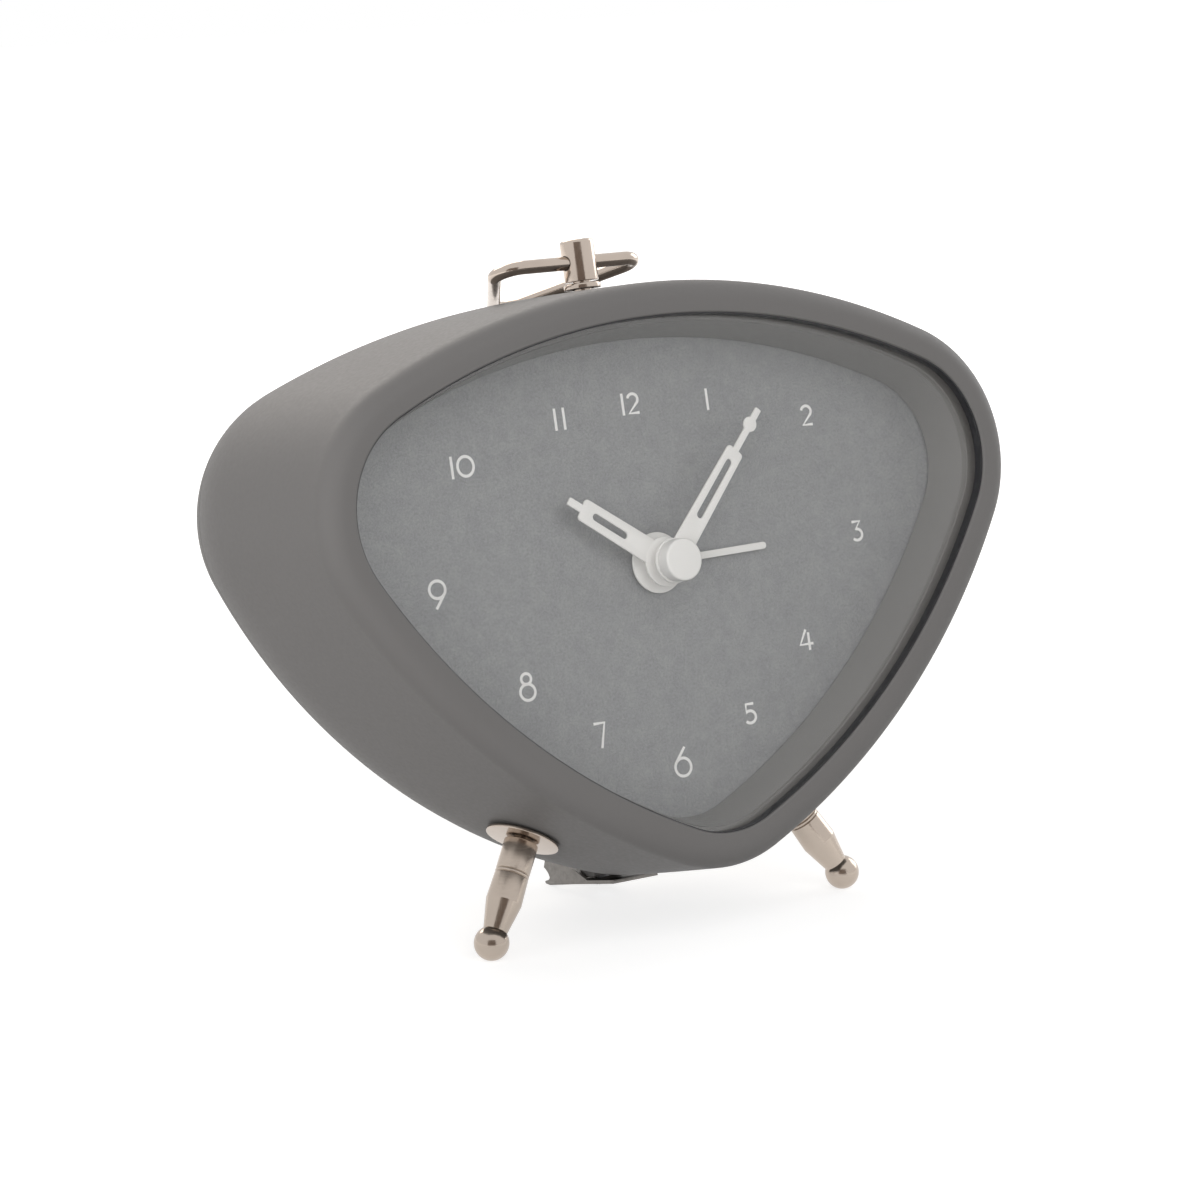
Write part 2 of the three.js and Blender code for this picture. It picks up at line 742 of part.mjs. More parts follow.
// Lowest angle at which the bail clears the case's top, in front or behind
function bailRest(direction) {
  const reach = bailSide * Math.cos(Math.PI / 6) - bailCorner;
  const clear = bailWire / 2 + bailGap;
  let lowest = Math.PI / 2;
  const crown = [];
  for (let share = 0; share <= 1; share += 0.04) {
    const y = THREE.MathUtils.lerp(rimFront + rimRound, backY, share);
    crown.push([y, crownAt(y)]);
    const turn = share * Math.PI / 2;
    const front = caseTop - rimRound;
    crown.push([rimFront + rimRound - rimRound * Math.sin(turn), front + rimRound * Math.cos(turn)]);
  }
  for (const [y, z] of crown) {
    const away = (y - postY) * direction;
    const distance = Math.hypot(away, pivotZ - z);
    if (away > postRadius && away < reach + clear) {
      lowest = Math.min(lowest, Math.atan2(pivotZ - z, away) - Math.asin(clear / distance));
    }
  }
  return lowest;
}

function makeBail() {
  const corners = [90, 210, 330].map(angle => {
    const out = bailSide / Math.sqrt(3) - 2 * bailCorner;
    return new THREE.Vector2(Math.cos(angle * degrees) * out, Math.sin(angle * degrees) * out);
  });
  const toBar = bailSide / Math.sqrt(12); // from the triangle's middle to its side
  const cornerSteps = 5;
  const sides = 8;
  const rings = [];
  corners.forEach((centre, n) => {
    for (let i = 0; i <= cornerSteps; i++) {
      const turn = (30 + 120 * n + 120 * i / cornerSteps) * degrees;
      const out = new THREE.Vector2(Math.cos(turn), Math.sin(turn));
      const middle = centre.clone().addScaledVector(out, bailCorner);
      const ring = [];
      for (let s = 0; s < sides; s++) {
        const roll = (s + 0.5) * 2 * Math.PI / sides;
        const point = middle.clone().addScaledVector(out, bailWire / 2 * Math.cos(roll));
        ring.push(new THREE.Vector3(point.x + bailShift, point.y + toBar, bailWire / 2 * Math.sin(roll)));
      }
      rings.push(ring);
    }
  });
  return skin(rings, true).rotateX(-bailRest(1)).translate(0, postY, pivotZ);
}

function makeBailPost() {
  const foot = collarHeight + 2 * seatGap;
  const post = turned([
    [0, studEnd],
    [studRadius, studEnd],
    [studRadius, foot],
    [postRadius, foot],
    [postRadius, foot + postHeight - postEdge],
    [postRadius - postEdge * 0.3, foot + postHeight - postEdge * 0.3],
    [postRadius - postEdge, foot + postHeight],
    [0, foot + postHeight]
  ], 20);
  const hole = boreTool(bailWire / 2 + runGap, -10, 10, 16).rotateZ(Math.PI / 2);
  const standing = stoodOn(post, postSeat.seat, postSeat.axis);
  const collar = makeWasher(collarRadius, collarHeight, studRadius + 0.2);
  add('bail_post', cutBy(standing, at(hole, 0, pivotZ, postY)), finish.nickel);
  add('post_collar', stoodOn(collar, postSeat.seat, postSeat.axis), finish.nickel);
  add('post_nut', stoodOn(makeNut(), postSeat.seat, postSeat.axis), finish.zinc);
  add('bail', makeBail(), finish.nickel);
}

// Slotted hand along z: a baton with a slot, a narrow neck, perhaps a bead, and a tip
function batonHand({ length, shoulder, rootWidth, endWidth, slotFrom, slotTo, neckWidth, beadAt, beadRadius }) {
  const shape = new THREE.Shape();
  const end = endWidth / 2;
  const round = 0.6;
  const neck = neckWidth / 2;
  shape.moveTo(-rootWidth / 2, 0);
  shape.lineTo(rootWidth / 2, 0);
  shape.lineTo(end, shoulder - round);
  shape.absarc(end - round, shoulder - round, round, 0, Math.PI / 2);
  shape.lineTo(neck, shoulder);
  if (beadRadius) {
    const turn = Math.asin(neck / beadRadius);
    shape.absarc(0, beadAt, beadRadius, turn - Math.PI / 2, Math.PI / 2 - turn);
  }
  shape.absarc(0, length - neck, neck, 0, Math.PI);
  if (beadRadius) {
    const turn = Math.asin(neck / beadRadius);
    shape.absarc(0, beadAt, beadRadius, Math.PI / 2 + turn, Math.PI * 1.5 - turn);
  }
  shape.lineTo(-neck, shoulder);
  shape.absarc(round - end, shoulder - round, round, Math.PI / 2, Math.PI);
  const slot = new THREE.Path();
  slot.absarc(0, slotTo - 0.4, 0.4, 0, Math.PI);
  slot.absarc(0, slotFrom + 0.4, 0.4, Math.PI, Math.PI * 2);
  shape.holes.push(slot);
  return shape;
}

function finishHand(blade, y, hubRadius, collarRadius, collarBack, bore, turn) {
  const sheet = plate(blade, y - handSheet, y, 3);
  const hub = rod(hubRadius, y - handSheet, y, 20);
  const collar = rod(collarRadius, y - 0.1, collarBack, 12);
  const hand = joined(sheet, hub, collar);
  const hole = boreTool(bore + runGap / 2, y - 3, collarBack + 1, 12);
  return cutBy(hand, hole).rotateY(turn * degrees);
}

function makeHands() {
  const stick = new THREE.Shape();
  stick.moveTo(-0.55, 0);
  stick.lineTo(0.55, 0);
  stick.absarc(0, alarmHandLength - 0.55, 0.55, 0, Math.PI);
  const hour = batonHand({
    length: hourHandLength, shoulder: 17.4, rootWidth: 4, endWidth: 3.6,
    slotFrom: 8.3, slotTo: 14.9, neckWidth: 1.25
  });
  const minute = batonHand({
    length: minuteHandLength, shoulder: 21.4, rootWidth: 3.9, endWidth: 3.2,
    slotFrom: 8.5, slotTo: 19.3, neckWidth: 1.1, beadAt: 26.4, beadRadius: 1.2
  });
  const collar = 0.5;
  add('alarm_hand', finishHand(stick, alarmHandY, alarmHubRadius, alarmPipeRadius + collar,
    alarmHandY + 0.2, alarmPipeRadius, handTime.alarm), finish.hands);
  add('hour_hand', finishHand(hour, hourHandY, hourHubRadius, hourPipeRadius + collar,
    hourHandY + 1, hourPipeRadius, handTime.hour), finish.hands);
  add('minute_hand', finishHand(minute, minuteHandY, minuteHubRadius, minuteArborRadius + collar,
    minuteHandY + 0.9, minuteArborRadius, handTime.minute), finish.hands);
  const capBack = minuteHandY - handSheet - 0.15;
  const cap = turned([
    [0, capBack],
    [capRadius, capBack],
    [capRadius, capBack - capLength + 0.35],
    [capRadius - 0.35, capBack - capLength],
    [0, capBack - capLength]
  ], 20);
  const socket = boreTool(minuteArborRadius + runGap / 2, capBack - capLength + 0.6, capBack + 1, 12);
  add('hand_cap', cutBy(cap, socket), finish.hands);
}

// Toothed outline with its first tooth centred on an angle
function toothed(teeth, module, start) {
  const pitchRadius = teeth * module / 2;
  const tip = pitchRadius + 0.75 * module;
  const root = pitchRadius - 1.15 * module;
  const step = 2 * Math.PI / teeth;
  const shape = new THREE.Shape();
  for (let k = 0; k < teeth; k++) {
    for (const [radius, share] of [[root, -0.5], [tip, -0.05], [tip, 0.05]]) {
      const turn = start + (k + share) * step;
      const move = k === 0 && radius === root ? 'moveTo' : 'lineTo';
      shape[move](radius * Math.cos(turn), radius * Math.sin(turn));
    }
  }
  return shape;
}

// Where two wheels mesh: one has a tooth towards the other, which has a gap there
const toothTowards = (from, to) => Math.atan2(to.y - from.y, to.x - from.x);
const gapTowards = (from, to, teeth) => toothTowards(from, to) + Math.PI / teeth;

function stepFrom(place, distance, angle) {
  return new THREE.Vector2(
    place.x + distance * Math.cos(angle * degrees),
    place.y + distance * Math.sin(angle * degrees)
  );
}

const centre = new THREE.Vector2(0, 0);
const motionDistance = motionModule * (cannonTeeth + minuteWheelTeeth) / 2;
const hourModule = 2 * motionDistance / (minutePinionTeeth + hourWheelTeeth);
const alarmDistance = motionModule * (alarmWheelTeeth + alarmPinionTeeth) / 2;
const trainDistance = teeth => trainModule * (teeth + leaves) / 2;
const minutePlace = stepFrom(centre, motionDistance, minuteArborAngle);
const alarmPlace = stepFrom(centre, alarmDistance, alarmArborAngle);
const thirdPlace = stepFrom(centre, trainDistance(centreWheelTeeth), 100);
const fourthPlace = stepFrom(thirdPlace, trainDistance(thirdWheelTeeth), 20);
const fifthPlace = stepFrom(fourthPlace, trainDistance(fourthWheelTeeth), -30);
const rotorPlace = stepFrom(fifthPlace, trainDistance(fifthWheelTeeth), -70);

const wheelAt = (shape, plane, thickness = wheelSheet) => plate(shape, plane, plane + thickness);
const stemEnd = housingBack + 4;

function makeMotionWork() {
  const pipe = (radius, front, back) => rod(radius, front, back, 12);
  const alarmWheel = joined(
    wheelAt(toothed(alarmWheelTeeth, motionModule, toothTowards(centre, alarmPlace)), alarmPlane),
    pipe(alarmPipeRadius, alarmHandY - handSheet - 0.2, alarmPlane + wheelSheet)
  );
  const alarmBore = boreTool(alarmPipeRadius - pipeWall, -20, 20);
  add('alarm_wheel', cutBy(alarmWheel, alarmBore), finish.natural);
  const hourWheel = joined(
    wheelAt(toothed(hourWheelTeeth, hourModule, toothTowards(centre, minutePlace)), hourPlane),
    pipe(hourPipeRadius, hourHandY - handSheet - 0.3, hourPlane + wheelSheet)
  );
  const hourBore = boreTool(hourPipeRadius - pipeWall, -20, 20);
  add('hour_wheel', cutBy(hourWheel, hourBore), finish.natural);
  const arborEnd = minuteHandY - handSheet - 0.15 - capLength + 0.8;
  add('centre_arbor', joined(
    wheelAt(toothed(cannonTeeth, motionModule, toothTowards(centre, minutePlace)), minutePlane),
    rod(minuteArborRadius, arborEnd, pivotBack - 0.1, 12)
  ), finish.brass);
  const gapForHour = gapTowards(minutePlace, centre, minutePinionTeeth);
  const gapForCannon = gapTowards(minutePlace, centre, minuteWheelTeeth);
  const minuteWheel = joined(
    wheelAt(toothed(minuteWheelTeeth, motionModule, gapForCannon), minutePlane),
    plate(toothed(minutePinionTeeth, hourModule, gapForHour), hourPlane, minutePlane + 0.1),
    rod(stemRadius, pivotFront, stemEnd, 12)
  );
  add('minute_wheel', at(minuteWheel, minutePlace.x, minutePlace.y), finish.natural);
  const gapForAlarm = gapTowards(alarmPlace, centre, alarmPinionTeeth);
  const alarmPinion = joined(
    wheelAt(toothed(alarmPinionTeeth, motionModule, gapForAlarm), alarmPlane),
    rod(stemRadius, pivotFront, stemEnd, 12)
  );
  add('alarm_pinion', at(alarmPinion, alarmPlace.x, alarmPlace.y), finish.natural);
}

// A train wheel with its leaf pinion in the plane before it, both on one arbor
function trainWheel(place, teeth, plane, previous, following) {
  const wheel = wheelAt(toothed(teeth, trainModule, toothTowards(place, following)), plane);
  const pinionStart = gapTowards(place, previous, leaves);
  const pinion = plate(toothed(leaves, trainModule, pinionStart), plane - wheelPitch - 0.1, plane + 0.1);
  const arbor = rod(arborRadius, pivotFront, pivotBack - 0.1, 10);
  return at(joined(wheel, pinion, arbor), place.x, place.y);
}

function makeGoingTrain() {
  const centreShape = toothed(centreWheelTeeth, trainModule, toothTowards(centre, thirdPlace));
  const grip = boreTool(minuteArborRadius + runGap, -20, 30, 12);
  const centreWheel = joined(wheelAt(centreShape, centrePlane), rod(1.15, centrePlane, centrePlane + 1, 12));
  add('centre_wheel', cutBy(centreWheel, grip), finish.brass);
  add('third_wheel', trainWheel(thirdPlace, thirdWheelTeeth, thirdPlane, centre, fourthPlace), finish.natural);
  add('fourth_wheel', trainWheel(fourthPlace, fourthWheelTeeth, fourthPlane, thirdPlace, fifthPlace), finish.natural);
  add('fifth_wheel', trainWheel(fifthPlace, fifthWheelTeeth, fifthPlane, fourthPlace, rotorPlace), finish.natural);
  const start = gapTowards(rotorPlace, fifthPlace, leaves);
  const rotor = joined(
    plate(toothed(leaves, trainModule, start), fifthPlane - 0.1, fifthPlane + wheelSheet + 0.1),
    rod(magnetRadius, thirdPlane - 0.6, thirdPlane + 1.9, 16),
    rod(arborRadius, pivotFront, pivotBack - 0.1, 10)
  );
  add('rotor', at(rotor, rotorPlace.x, rotorPlace.y), finish.zinc);
}

const statorFront = thirdPlane;
const statorBack = statorFront + 1;
const coilHalf = 2.2;
const coreX = movementHalfX - housingWall - seatGap - coilHalf;
const coreHalf = 1.2;
const coilLow = -5;
const coilHigh = 10;
const coreLow = -9;
const coreHigh = 14;

function makeMotor() {
  const plateLow = rotorPlace.x - 4.8;
  const plateHigh = coreX - coilHalf - seatGap;
  const body = box([plateLow, statorFront, coreLow], [plateHigh, statorBack, coreHigh]);
  const lower = box([plateLow, statorFront, coreLow], [coreX + coreHalf, statorBack, coreLow + 3]);
  const upper = box([plateLow, statorFront, coreHigh - 3], [coreX + coreHalf, statorBack, coreHigh]);
  add('stator', cutBy(
    joined(body, lower, upper),
    at(boreTool(magnetRadius + 0.4, -20, 30, 16), rotorPlace.x, rotorPlace.y),
    at(boreTool(arborRadius + 0.5, -20, 30, 12), fifthPlace.x, fifthPlace.y)
  ), finish.zinc);
  const coreFront = statorBack + seatGap;
  const coreBack = coreFront + 1;
  const core = box([coreX - coreHalf, coreFront, coreLow], [coreX + coreHalf, coreBack, coreHigh]);
  const flange = z => box([coreX - coilHalf, coreFront - 1, z], [coreX + coilHalf, coreBack + 1, z + 0.8]);
  add('coil_bobbin', joined(core, flange(coilLow), flange(coilHigh - 0.8)), finish.natural);
  const wound = coilHalf - seatGap;
  const winding = box(
    [coreX - wound, coreFront - 0.8, coilLow + 1.1],
    [coreX + wound, coreBack + 0.8, coilHigh - 1.1]
  );
  const hollow = box(
    [coreX - coreHalf - runGap, coreFront - runGap, coilLow],
    [coreX + coreHalf + runGap, coreBack + runGap, coilHigh]
  );
  add('coil_winding', cutBy(winding, hollow), finish.copper);
}

const boardFront = housingInner - seatGap - 1;
const boardLow = -23.5;
const boardHigh = -14.8;
const boardHalf = 18;
const leadZ = boardHigh - 2.5;

function makeCircuit() {
  const boardBack = housingInner - seatGap;
  add('circuit_board', box([-boardHalf, boardFront, boardLow], [boardHalf, boardBack, boardHigh]), finish.board);
  const middle = (boardLow + boardHigh) / 2;
  const chip = rod(2.8, boardFront - seatGap - 1, boardFront - seatGap, 16);
  add('chip', at(chip, 0, middle), finish.black);
  const can = rod(1, -3.1, 3.1, 12).rotateZ(Math.PI / 2);
  add('quartz_can', at(can, 10, middle, boardFront - seatGap - 1), finish.zinc);
}

function pivotHoles(places, radius, from, to) {
  return places.map(place => at(boreTool(radius + runGap, from, to, 10), place.x, place.y));
}

function fixingHoles(radius, rows, from, to) {
  return rows.flatMap(row => [-1, 1].map(side =>
    at(boreTool(radius, from, to, 12), side * fixingPlace, row * fixingPlace)));
}

function makeMovementBox() {
  const outside = roundedBox(movementHalfX, movementHalfZ, movementCorner);
  const trainPlaces = [thirdPlace, fourthPlace, fifthPlace, rotorPlace];
  const stemPlaces = [minutePlace, alarmPlace];
  const nose = rod(noseRadius, -0.3, plateFront + 0.2, 20);
  const frontPlate = joined(plate(outside, plateFront, plateBack, 4), nose);
  add('movement_plate', cutBy(
    frontPlate,
    boreTool(alarmPipeRadius + runGap, -5, plateBack + 1),
    ...pivotHoles(trainPlaces, arborRadius, pivotFront - runGap, plateBack + 1),
    ...pivotHoles(stemPlaces, stemRadius, pivotFront - runGap, plateBack + 1),
    ...fixingHoles(fixingPostRadius / 2 + runGap, [1], plateFront - 1, plateBack + 1),
    ...fixingHoles(studRadius - 0.2, [-1], plateFront - 1, plateBack + 1)
  ), finish.natural);
  const inside = roundedBox(movementHalfX - housingWall, movementHalfZ - housingWall, movementCorner - housingWall);
  const front = plateBack + seatGap;
  const housing = cutBy(plate(outside, front, housingBack, 4), plate(inside, front - 1, housingInner, 4));
  const leadHole = box(
    [-movementHalfX - 1, boardFront - 5, leadZ - 1.5],
    [1 - movementHalfX + housingWall, boardFront - 2, leadZ + 1.5]
  );
  add('movement_housing', cutBy(
    housing,
    ...pivotHoles([centre], minuteArborRadius, housingInner - 1, pivotBack),
    ...pivotHoles(trainPlaces, arborRadius, housingInner - 1, pivotBack),
    ...pivotHoles(stemPlaces, stemRadius, housingInner - 1, housingBack + 1),
    ...fixingHoles(studRadius - 0.2, [-1], housingInner - 1, housingBack + 1),
    leadHole,
    leadHole.clone().scale(-1, 1, 1)
  ), finish.natural);
  ['left', 'right'].forEach((side, n) => {
    const screw = makeScrew(housingBack + seatGap - carrierBack, studRadius - 0.4, movementHead, movementHeadHeight);
    const x = (n ? 1 : -1) * fixingPlace;
    add(`movement_screw_${side}`, at(screw, x, -fixingPlace, housingBack + seatGap), finish.zinc);
  });
}

const cellLeft = -(cellLength + cellNub + springRoom) / 2;
const cellRight = cellLeft + cellNub + cellLength;
const plusX = cellLeft - seatGap - contactSheet;
const minusX = cellRight + springRoom;
const wellHalfX = Math.max(-plusX, minusX + contactSheet) + seatGap;
const wellHalfZ = cellRadius + seatGap + 0.6;
const wellFloor = wellZ - wellHalfZ - wellWall;
const switchX = wellHalfX + wellWall + switchGap + switchHalf;
const tabHalf = 1;
const tabEnd = wellFloor - 1.5;
const doorBack = backY - 0.1;
const doorFront = doorBack - doorThickness;

function soundHoles() {
  const holes = [at(boreTool(0.9, coverInner - 1, backY + 1, 8), 0, buzzerZ)];
  for (let i = 0; i < 6; i++) {
    const place = stepFrom(new THREE.Vector2(0, buzzerZ), 3.6, 60 * i + 30);
    holes.push(at(boreTool(0.9, coverInner - 1, backY + 1, 8), place.x, place.y));
  }
  return holes;
}

// The cover's round at a depth below its surface, from the joint to the flat back
function coverRound(start, depth) {
  const from = backY - backCurve;
  const reach = backCurve - depth;
  const steps = 5;
  const startTurn = Math.asin((start - from) / reach);
  return Array.from({ length: steps + 1 }, (_, i) => {
    const turn = THREE.MathUtils.lerp(startTurn, Math.PI / 2, i / steps);
    return [backInset - (backInset - depth) * Math.cos(turn), from + reach * Math.sin(turn), 1];
  });
}

function makeBackCover() {
  const start = jointY + seatGap;
  const spigotInset = caseWall + seatGap;
  const shell = slab([
    ...coverRound(start, 0).reverse(),
    [spigotInset + tuckAt(start), start, 1],
    wall(spigotInset, jointY - spigotDepth),
    wall(spigotInset + spigotWall, jointY - spigotDepth),
    ...coverRound(start, coverWall)
  ]);
  const well = box([-wellHalfX - wellWall, wellFront, wellFloor],
    [wellHalfX + wellWall, backY - 1, wellZ + wellHalfZ + wellWall]);
  const pit = box([-wellHalfX, wellFront + wellWall, wellZ - wellHalfZ],
    [wellHalfX, backY + 1, wellZ + wellHalfZ]);
  const tabSlot = x => box([x - runGap, cellY - tabHalf - runGap, wellFloor - 1],
    [x + contactSheet + runGap, cellY + tabHalf + runGap, wellFloor + wellWall + 1]);
  const pad = box([-padHalf, padFront, padBottom], [padHalf, padBack, keelAt(padBack) + 1]);
  const upright = (tool, z) => at(tool.rotateX(-Math.PI / 2), 0, z, standScrewY);
  const standBoss = upright(rod(2.1, -7, -1.5, 12), padBottom);
  const standHole = upright(boreTool(standScrewRadius + runGap, -6, 5, 12), padBottom);
  const slotHalf = switchStemHalf + seatGap;
  const slot = box([switchX - slotHalf, coverInner - 1, switchZ - slotHalf],
    [switchX + slotHalf, backY + 1, switchZ + slotHalf + switchTravel]);
  add('back_cover', cutBy(
    joined(shell, well, pad, standBoss),
    pit,
    standHole,
    tabSlot(plusX),
    tabSlot(minusX),
    ...pivotHoles([minutePlace, alarmPlace], knobStemRadius + seatGap, coverInner - 1, backY + 1),
    ...towers.map(([x, z]) => at(boreTool(studRadius + 0.2, coverInner - 1, backY + 1, 12), x, z)),
    ...soundHoles(),
    slot
  ), finish.paint);
  ['right', 'left', 'bottom'].forEach((side, n) => {
    const [x, z] = towers[n];
    const screw = makeScrew(coverWall + seatGap + 8, studRadius - 0.2, coverHead, coverHeadHeight);
    add(`cover_screw_${side}`, at(screw, x, z, backY + seatGap), finish.zinc);
  });
}

function makeBattery() {
  const cell = turned([
    [0, -cellNub],
    [cellNubRadius, -cellNub],
    [cellNubRadius, 0],
    [cellRadius - 0.6, 0],
    [cellRadius, 0.6],
    [cellRadius, cellLength - 0.6],
    [cellRadius - 0.6, cellLength],
    [0, cellLength]
  ], 18).rotateZ(-Math.PI / 2);
  add('battery_cell', at(cell, cellLeft + cellNub, wellZ, cellY), finish.cell);
  const half = contactWidth / 2;
  const contact = x => joined(
    box([x, cellY - half, wellZ - half], [x + contactSheet, cellY + half, wellZ + half]),
    box([x, cellY - tabHalf, tabEnd], [x + contactSheet, cellY + tabHalf, wellZ])
  );
  add('plus_contact', contact(plusX), finish.zinc);
  add('minus_contact', joined(contact(minusX), makeContactSpring()), finish.zinc);
}

// Conical spring between the cell and the minus contact; prints its least gap to itself
function makeContactSpring() {
  const wire = 0.25;
  const coils = 3;
  const stepsPerCoil = 8;
  const sides = 5;
  const from = minusX + 0.1;
  const to = cellRight + seatGap + wire;
  const points = [];
  for (let i = 0; i <= coils * stepsPerCoil; i++) {
    const share = i / (coils * stepsPerCoil);
    const turn = share * coils * 2 * Math.PI;
    const radius = THREE.MathUtils.lerp(3.4, 1.4, share);
    points.push(new THREE.Vector3(
      THREE.MathUtils.lerp(from, to, share),
      cellY + radius * Math.cos(turn),
      wellZ + radius * Math.sin(turn)
    ));
  }
  const rings = points.map((point, i) => {
    const turn = i / stepsPerCoil * 2 * Math.PI;
    const out = new THREE.Vector3(0, Math.cos(turn), Math.sin(turn));
    const ring = [];
    for (let s = 0; s < sides; s++) {
      const roll = s * 2 * Math.PI / sides;
      ring.push(point.clone().addScaledVector(out, wire * Math.cos(roll)).add(new THREE.Vector3(wire * Math.sin(roll), 0, 0)));
    }
    return ring;
  });
  let least = Infinity;
  points.forEach((a, i) => points.slice(i + stepsPerCoil / 2 + 1).forEach(b => {
    least = Math.min(least, a.distanceTo(b) - 2 * wire);
  }));
  console.log(`contact spring: least gap to itself ${least.toFixed(2)} mm`);
  return skin(rings, false);
}

function makeDoor() {
  const halfX = wellHalfX - seatGap;
  const halfZ = wellHalfZ - seatGap;
  const panel = box([-halfX, doorFront, wellZ - halfZ], [halfX, doorBack, wellZ + halfZ]);
  const grips = [0, 1, 2].map(n => {
    const z = wellZ + halfZ - 2.2 - 1.5 * n;
    return box([-5, doorBack - 0.5, z - 0.35], [5, doorBack + 1, z + 0.35]);
  });
  add('battery_door', cutBy(panel, ...grips), finish.paint);
}

// Knob with grooves round its edge; its stem plugs over the end of a wheel's arbor
function makeKnob(name, place) {
  const stemFront = housingBack + 1.2;
  const front = backY + seatGap + 0.4;
  const ridges = 16;
  const shape = new THREE.Shape();
  for (let i = 0; i < 2 * ridges; i++) {
    const radius = knobRadius - (i % 2) * 0.45;
    const turn = i * Math.PI / ridges;
    shape[i ? 'lineTo' : 'moveTo'](radius * Math.cos(turn), radius * Math.sin(turn));
  }
  const knob = joined(
    plate(shape, front, front + knobLength),
    rod(knobStemRadius, stemFront, front + 0.1, 16)
  );
  const socket = boreTool(stemRadius + runGap / 2, stemFront - 1, stemEnd + 0.2, 12);
  add(name, at(cutBy(knob, socket), place.x, place.y), finish.black);
}

function switchBlock(halfX, halfZ, from, to) {
  return box([switchX - halfX, from, switchZ - halfZ], [switchX + halfX, to, switchZ + halfZ]);
}

function makeSwitch() {
  const foot = coverInner - seatGap;
  add('alarm_switch', joined(
    switchBlock(switchHalf, switchHalf - 0.5, backY + seatGap, backY + 1.8),
    switchBlock(switchStemHalf, switchStemHalf, foot - 0.5, backY + 1),
    switchBlock(switchHalf, switchHalf - 0.5, foot - 1.2, foot)
  ), finish.black);
}

function makeBuzzer() {
  const back = coverInner - seatGap;
  const buzzer = turned([
    [0, back - buzzerDepth],
    [buzzerRadius - 0.5, back - buzzerDepth],
    [buzzerRadius, back - buzzerDepth + 0.5],
    [buzzerRadius, back],
    [1.2, back],
    [1.2, back - 1.2],
    [0, back - 1.2]
  ], 16);
  add('buzzer', at(buzzer, 0, buzzerZ), finish.black);
}

// Insulated lead from a battery contact's tab, down behind the movement and in at its side, to the board
function makeLead(name, tabX, side, material) {
  const radius = 0.5;
  const x = tabX + contactSheet / 2;
  const outside = side * (movementHalfX + 1.4);
  const inFront = boardFront - 3.4;
  const route = new THREE.CatmullRomCurve3([
    new THREE.Vector3(x, cellY, tabEnd - seatGap),
    new THREE.Vector3(x, cellY, tabEnd - 3),
    new THREE.Vector3(outside, cellY - 2.5, tabEnd - 9),
    new THREE.Vector3(outside, housingBack - 1, leadZ + 6),
    new THREE.Vector3(outside, inFront, leadZ + 1.5),
    new THREE.Vector3(side * movementHalfX, inFront, leadZ),
    new THREE.Vector3(side * (movementHalfX - 3), inFront, leadZ),
    new THREE.Vector3(side * (boardHalf - 1), boardFront - seatGap - radius, leadZ)
  ]);
  const section = new THREE.Shape();
  section.absarc(0, 0, radius, 0, 2 * Math.PI);
  const settings = { steps: 15, bevelEnabled: false, extrudePath: route, curveSegments: 3 };
  add(name, bare(new THREE.ExtrudeGeometry(section, settings)), material);
}

add('case_shell', makeCaseShell(), finish.paint);
makeGlazing();
makeDial();
makeChassis();
makeBackCover();
makeLegs();
makeRearStand();
makeBailPost();
makeHands();
makeMovementBox();
makeMotionWork();
makeGoingTrain();
makeMotor();
makeCircuit();
makeBattery();
makeDoor();
makeKnob('time_knob', minutePlace);
makeKnob('alarm_knob', alarmPlace);
makeSwitch();
makeBuzzer();
makeLead('red_lead', plusX, -1, finish.red);
makeLead('black_lead', minusX, 1, finish.black);

// Stand the clock on z = 0, centred over the origin
clock.position.z = standHeight;
clock.updateMatrixWorld(true);
const extent = new THREE.Box3().setFromObject(clock, true);
clock.position.x = -(extent.min.x + extent.max.x) / 2;
clock.position.y = -(extent.min.y + extent.max.y) / 2;

const model = new THREE.Group();
model.add(clock);

export default model;
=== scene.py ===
import bpy
import bmesh
import json
import math
from mathutils import Matrix, Vector


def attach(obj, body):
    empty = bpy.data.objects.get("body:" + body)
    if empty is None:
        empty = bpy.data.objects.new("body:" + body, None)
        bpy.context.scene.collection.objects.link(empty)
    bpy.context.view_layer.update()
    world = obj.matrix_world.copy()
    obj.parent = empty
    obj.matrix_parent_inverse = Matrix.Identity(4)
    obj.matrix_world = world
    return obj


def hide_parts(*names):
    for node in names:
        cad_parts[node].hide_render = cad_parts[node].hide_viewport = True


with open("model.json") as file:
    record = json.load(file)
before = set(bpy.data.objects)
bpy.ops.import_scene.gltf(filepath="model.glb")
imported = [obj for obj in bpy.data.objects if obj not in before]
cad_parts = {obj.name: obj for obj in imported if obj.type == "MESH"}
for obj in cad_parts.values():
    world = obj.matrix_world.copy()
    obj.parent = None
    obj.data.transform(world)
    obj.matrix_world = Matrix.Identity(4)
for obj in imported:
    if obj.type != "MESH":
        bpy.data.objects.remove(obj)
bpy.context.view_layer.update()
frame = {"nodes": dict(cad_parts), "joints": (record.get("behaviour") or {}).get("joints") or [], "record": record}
print("frame loaded:", len(frame["nodes"]), "solids")

# The clock is drawn upright in millimetres: x right, y into the clock, z up the dial, with the
# origin where the hands' axis meets the dial. toWorld leans it back and stands it on the floor.
leanAngle = math.radians(14)
jointPlace = {joint["name"]: joint.get("pos_m") for joint in frame["joints"]}
toWorld = (Matrix.Translation(jointPlace["minute_turn"]) @ Matrix.Rotation(-leanAngle, 4, "X")
           @ Matrix.Scale(0.001, 4))


# Mesh helpers

def addMesh(name, points, faces, material):
    mesh = bpy.data.meshes.new(name)
    mesh.from_pydata([toWorld @ Vector(point) for point in points], [], faces)
    return finishMesh(name, mesh, material)


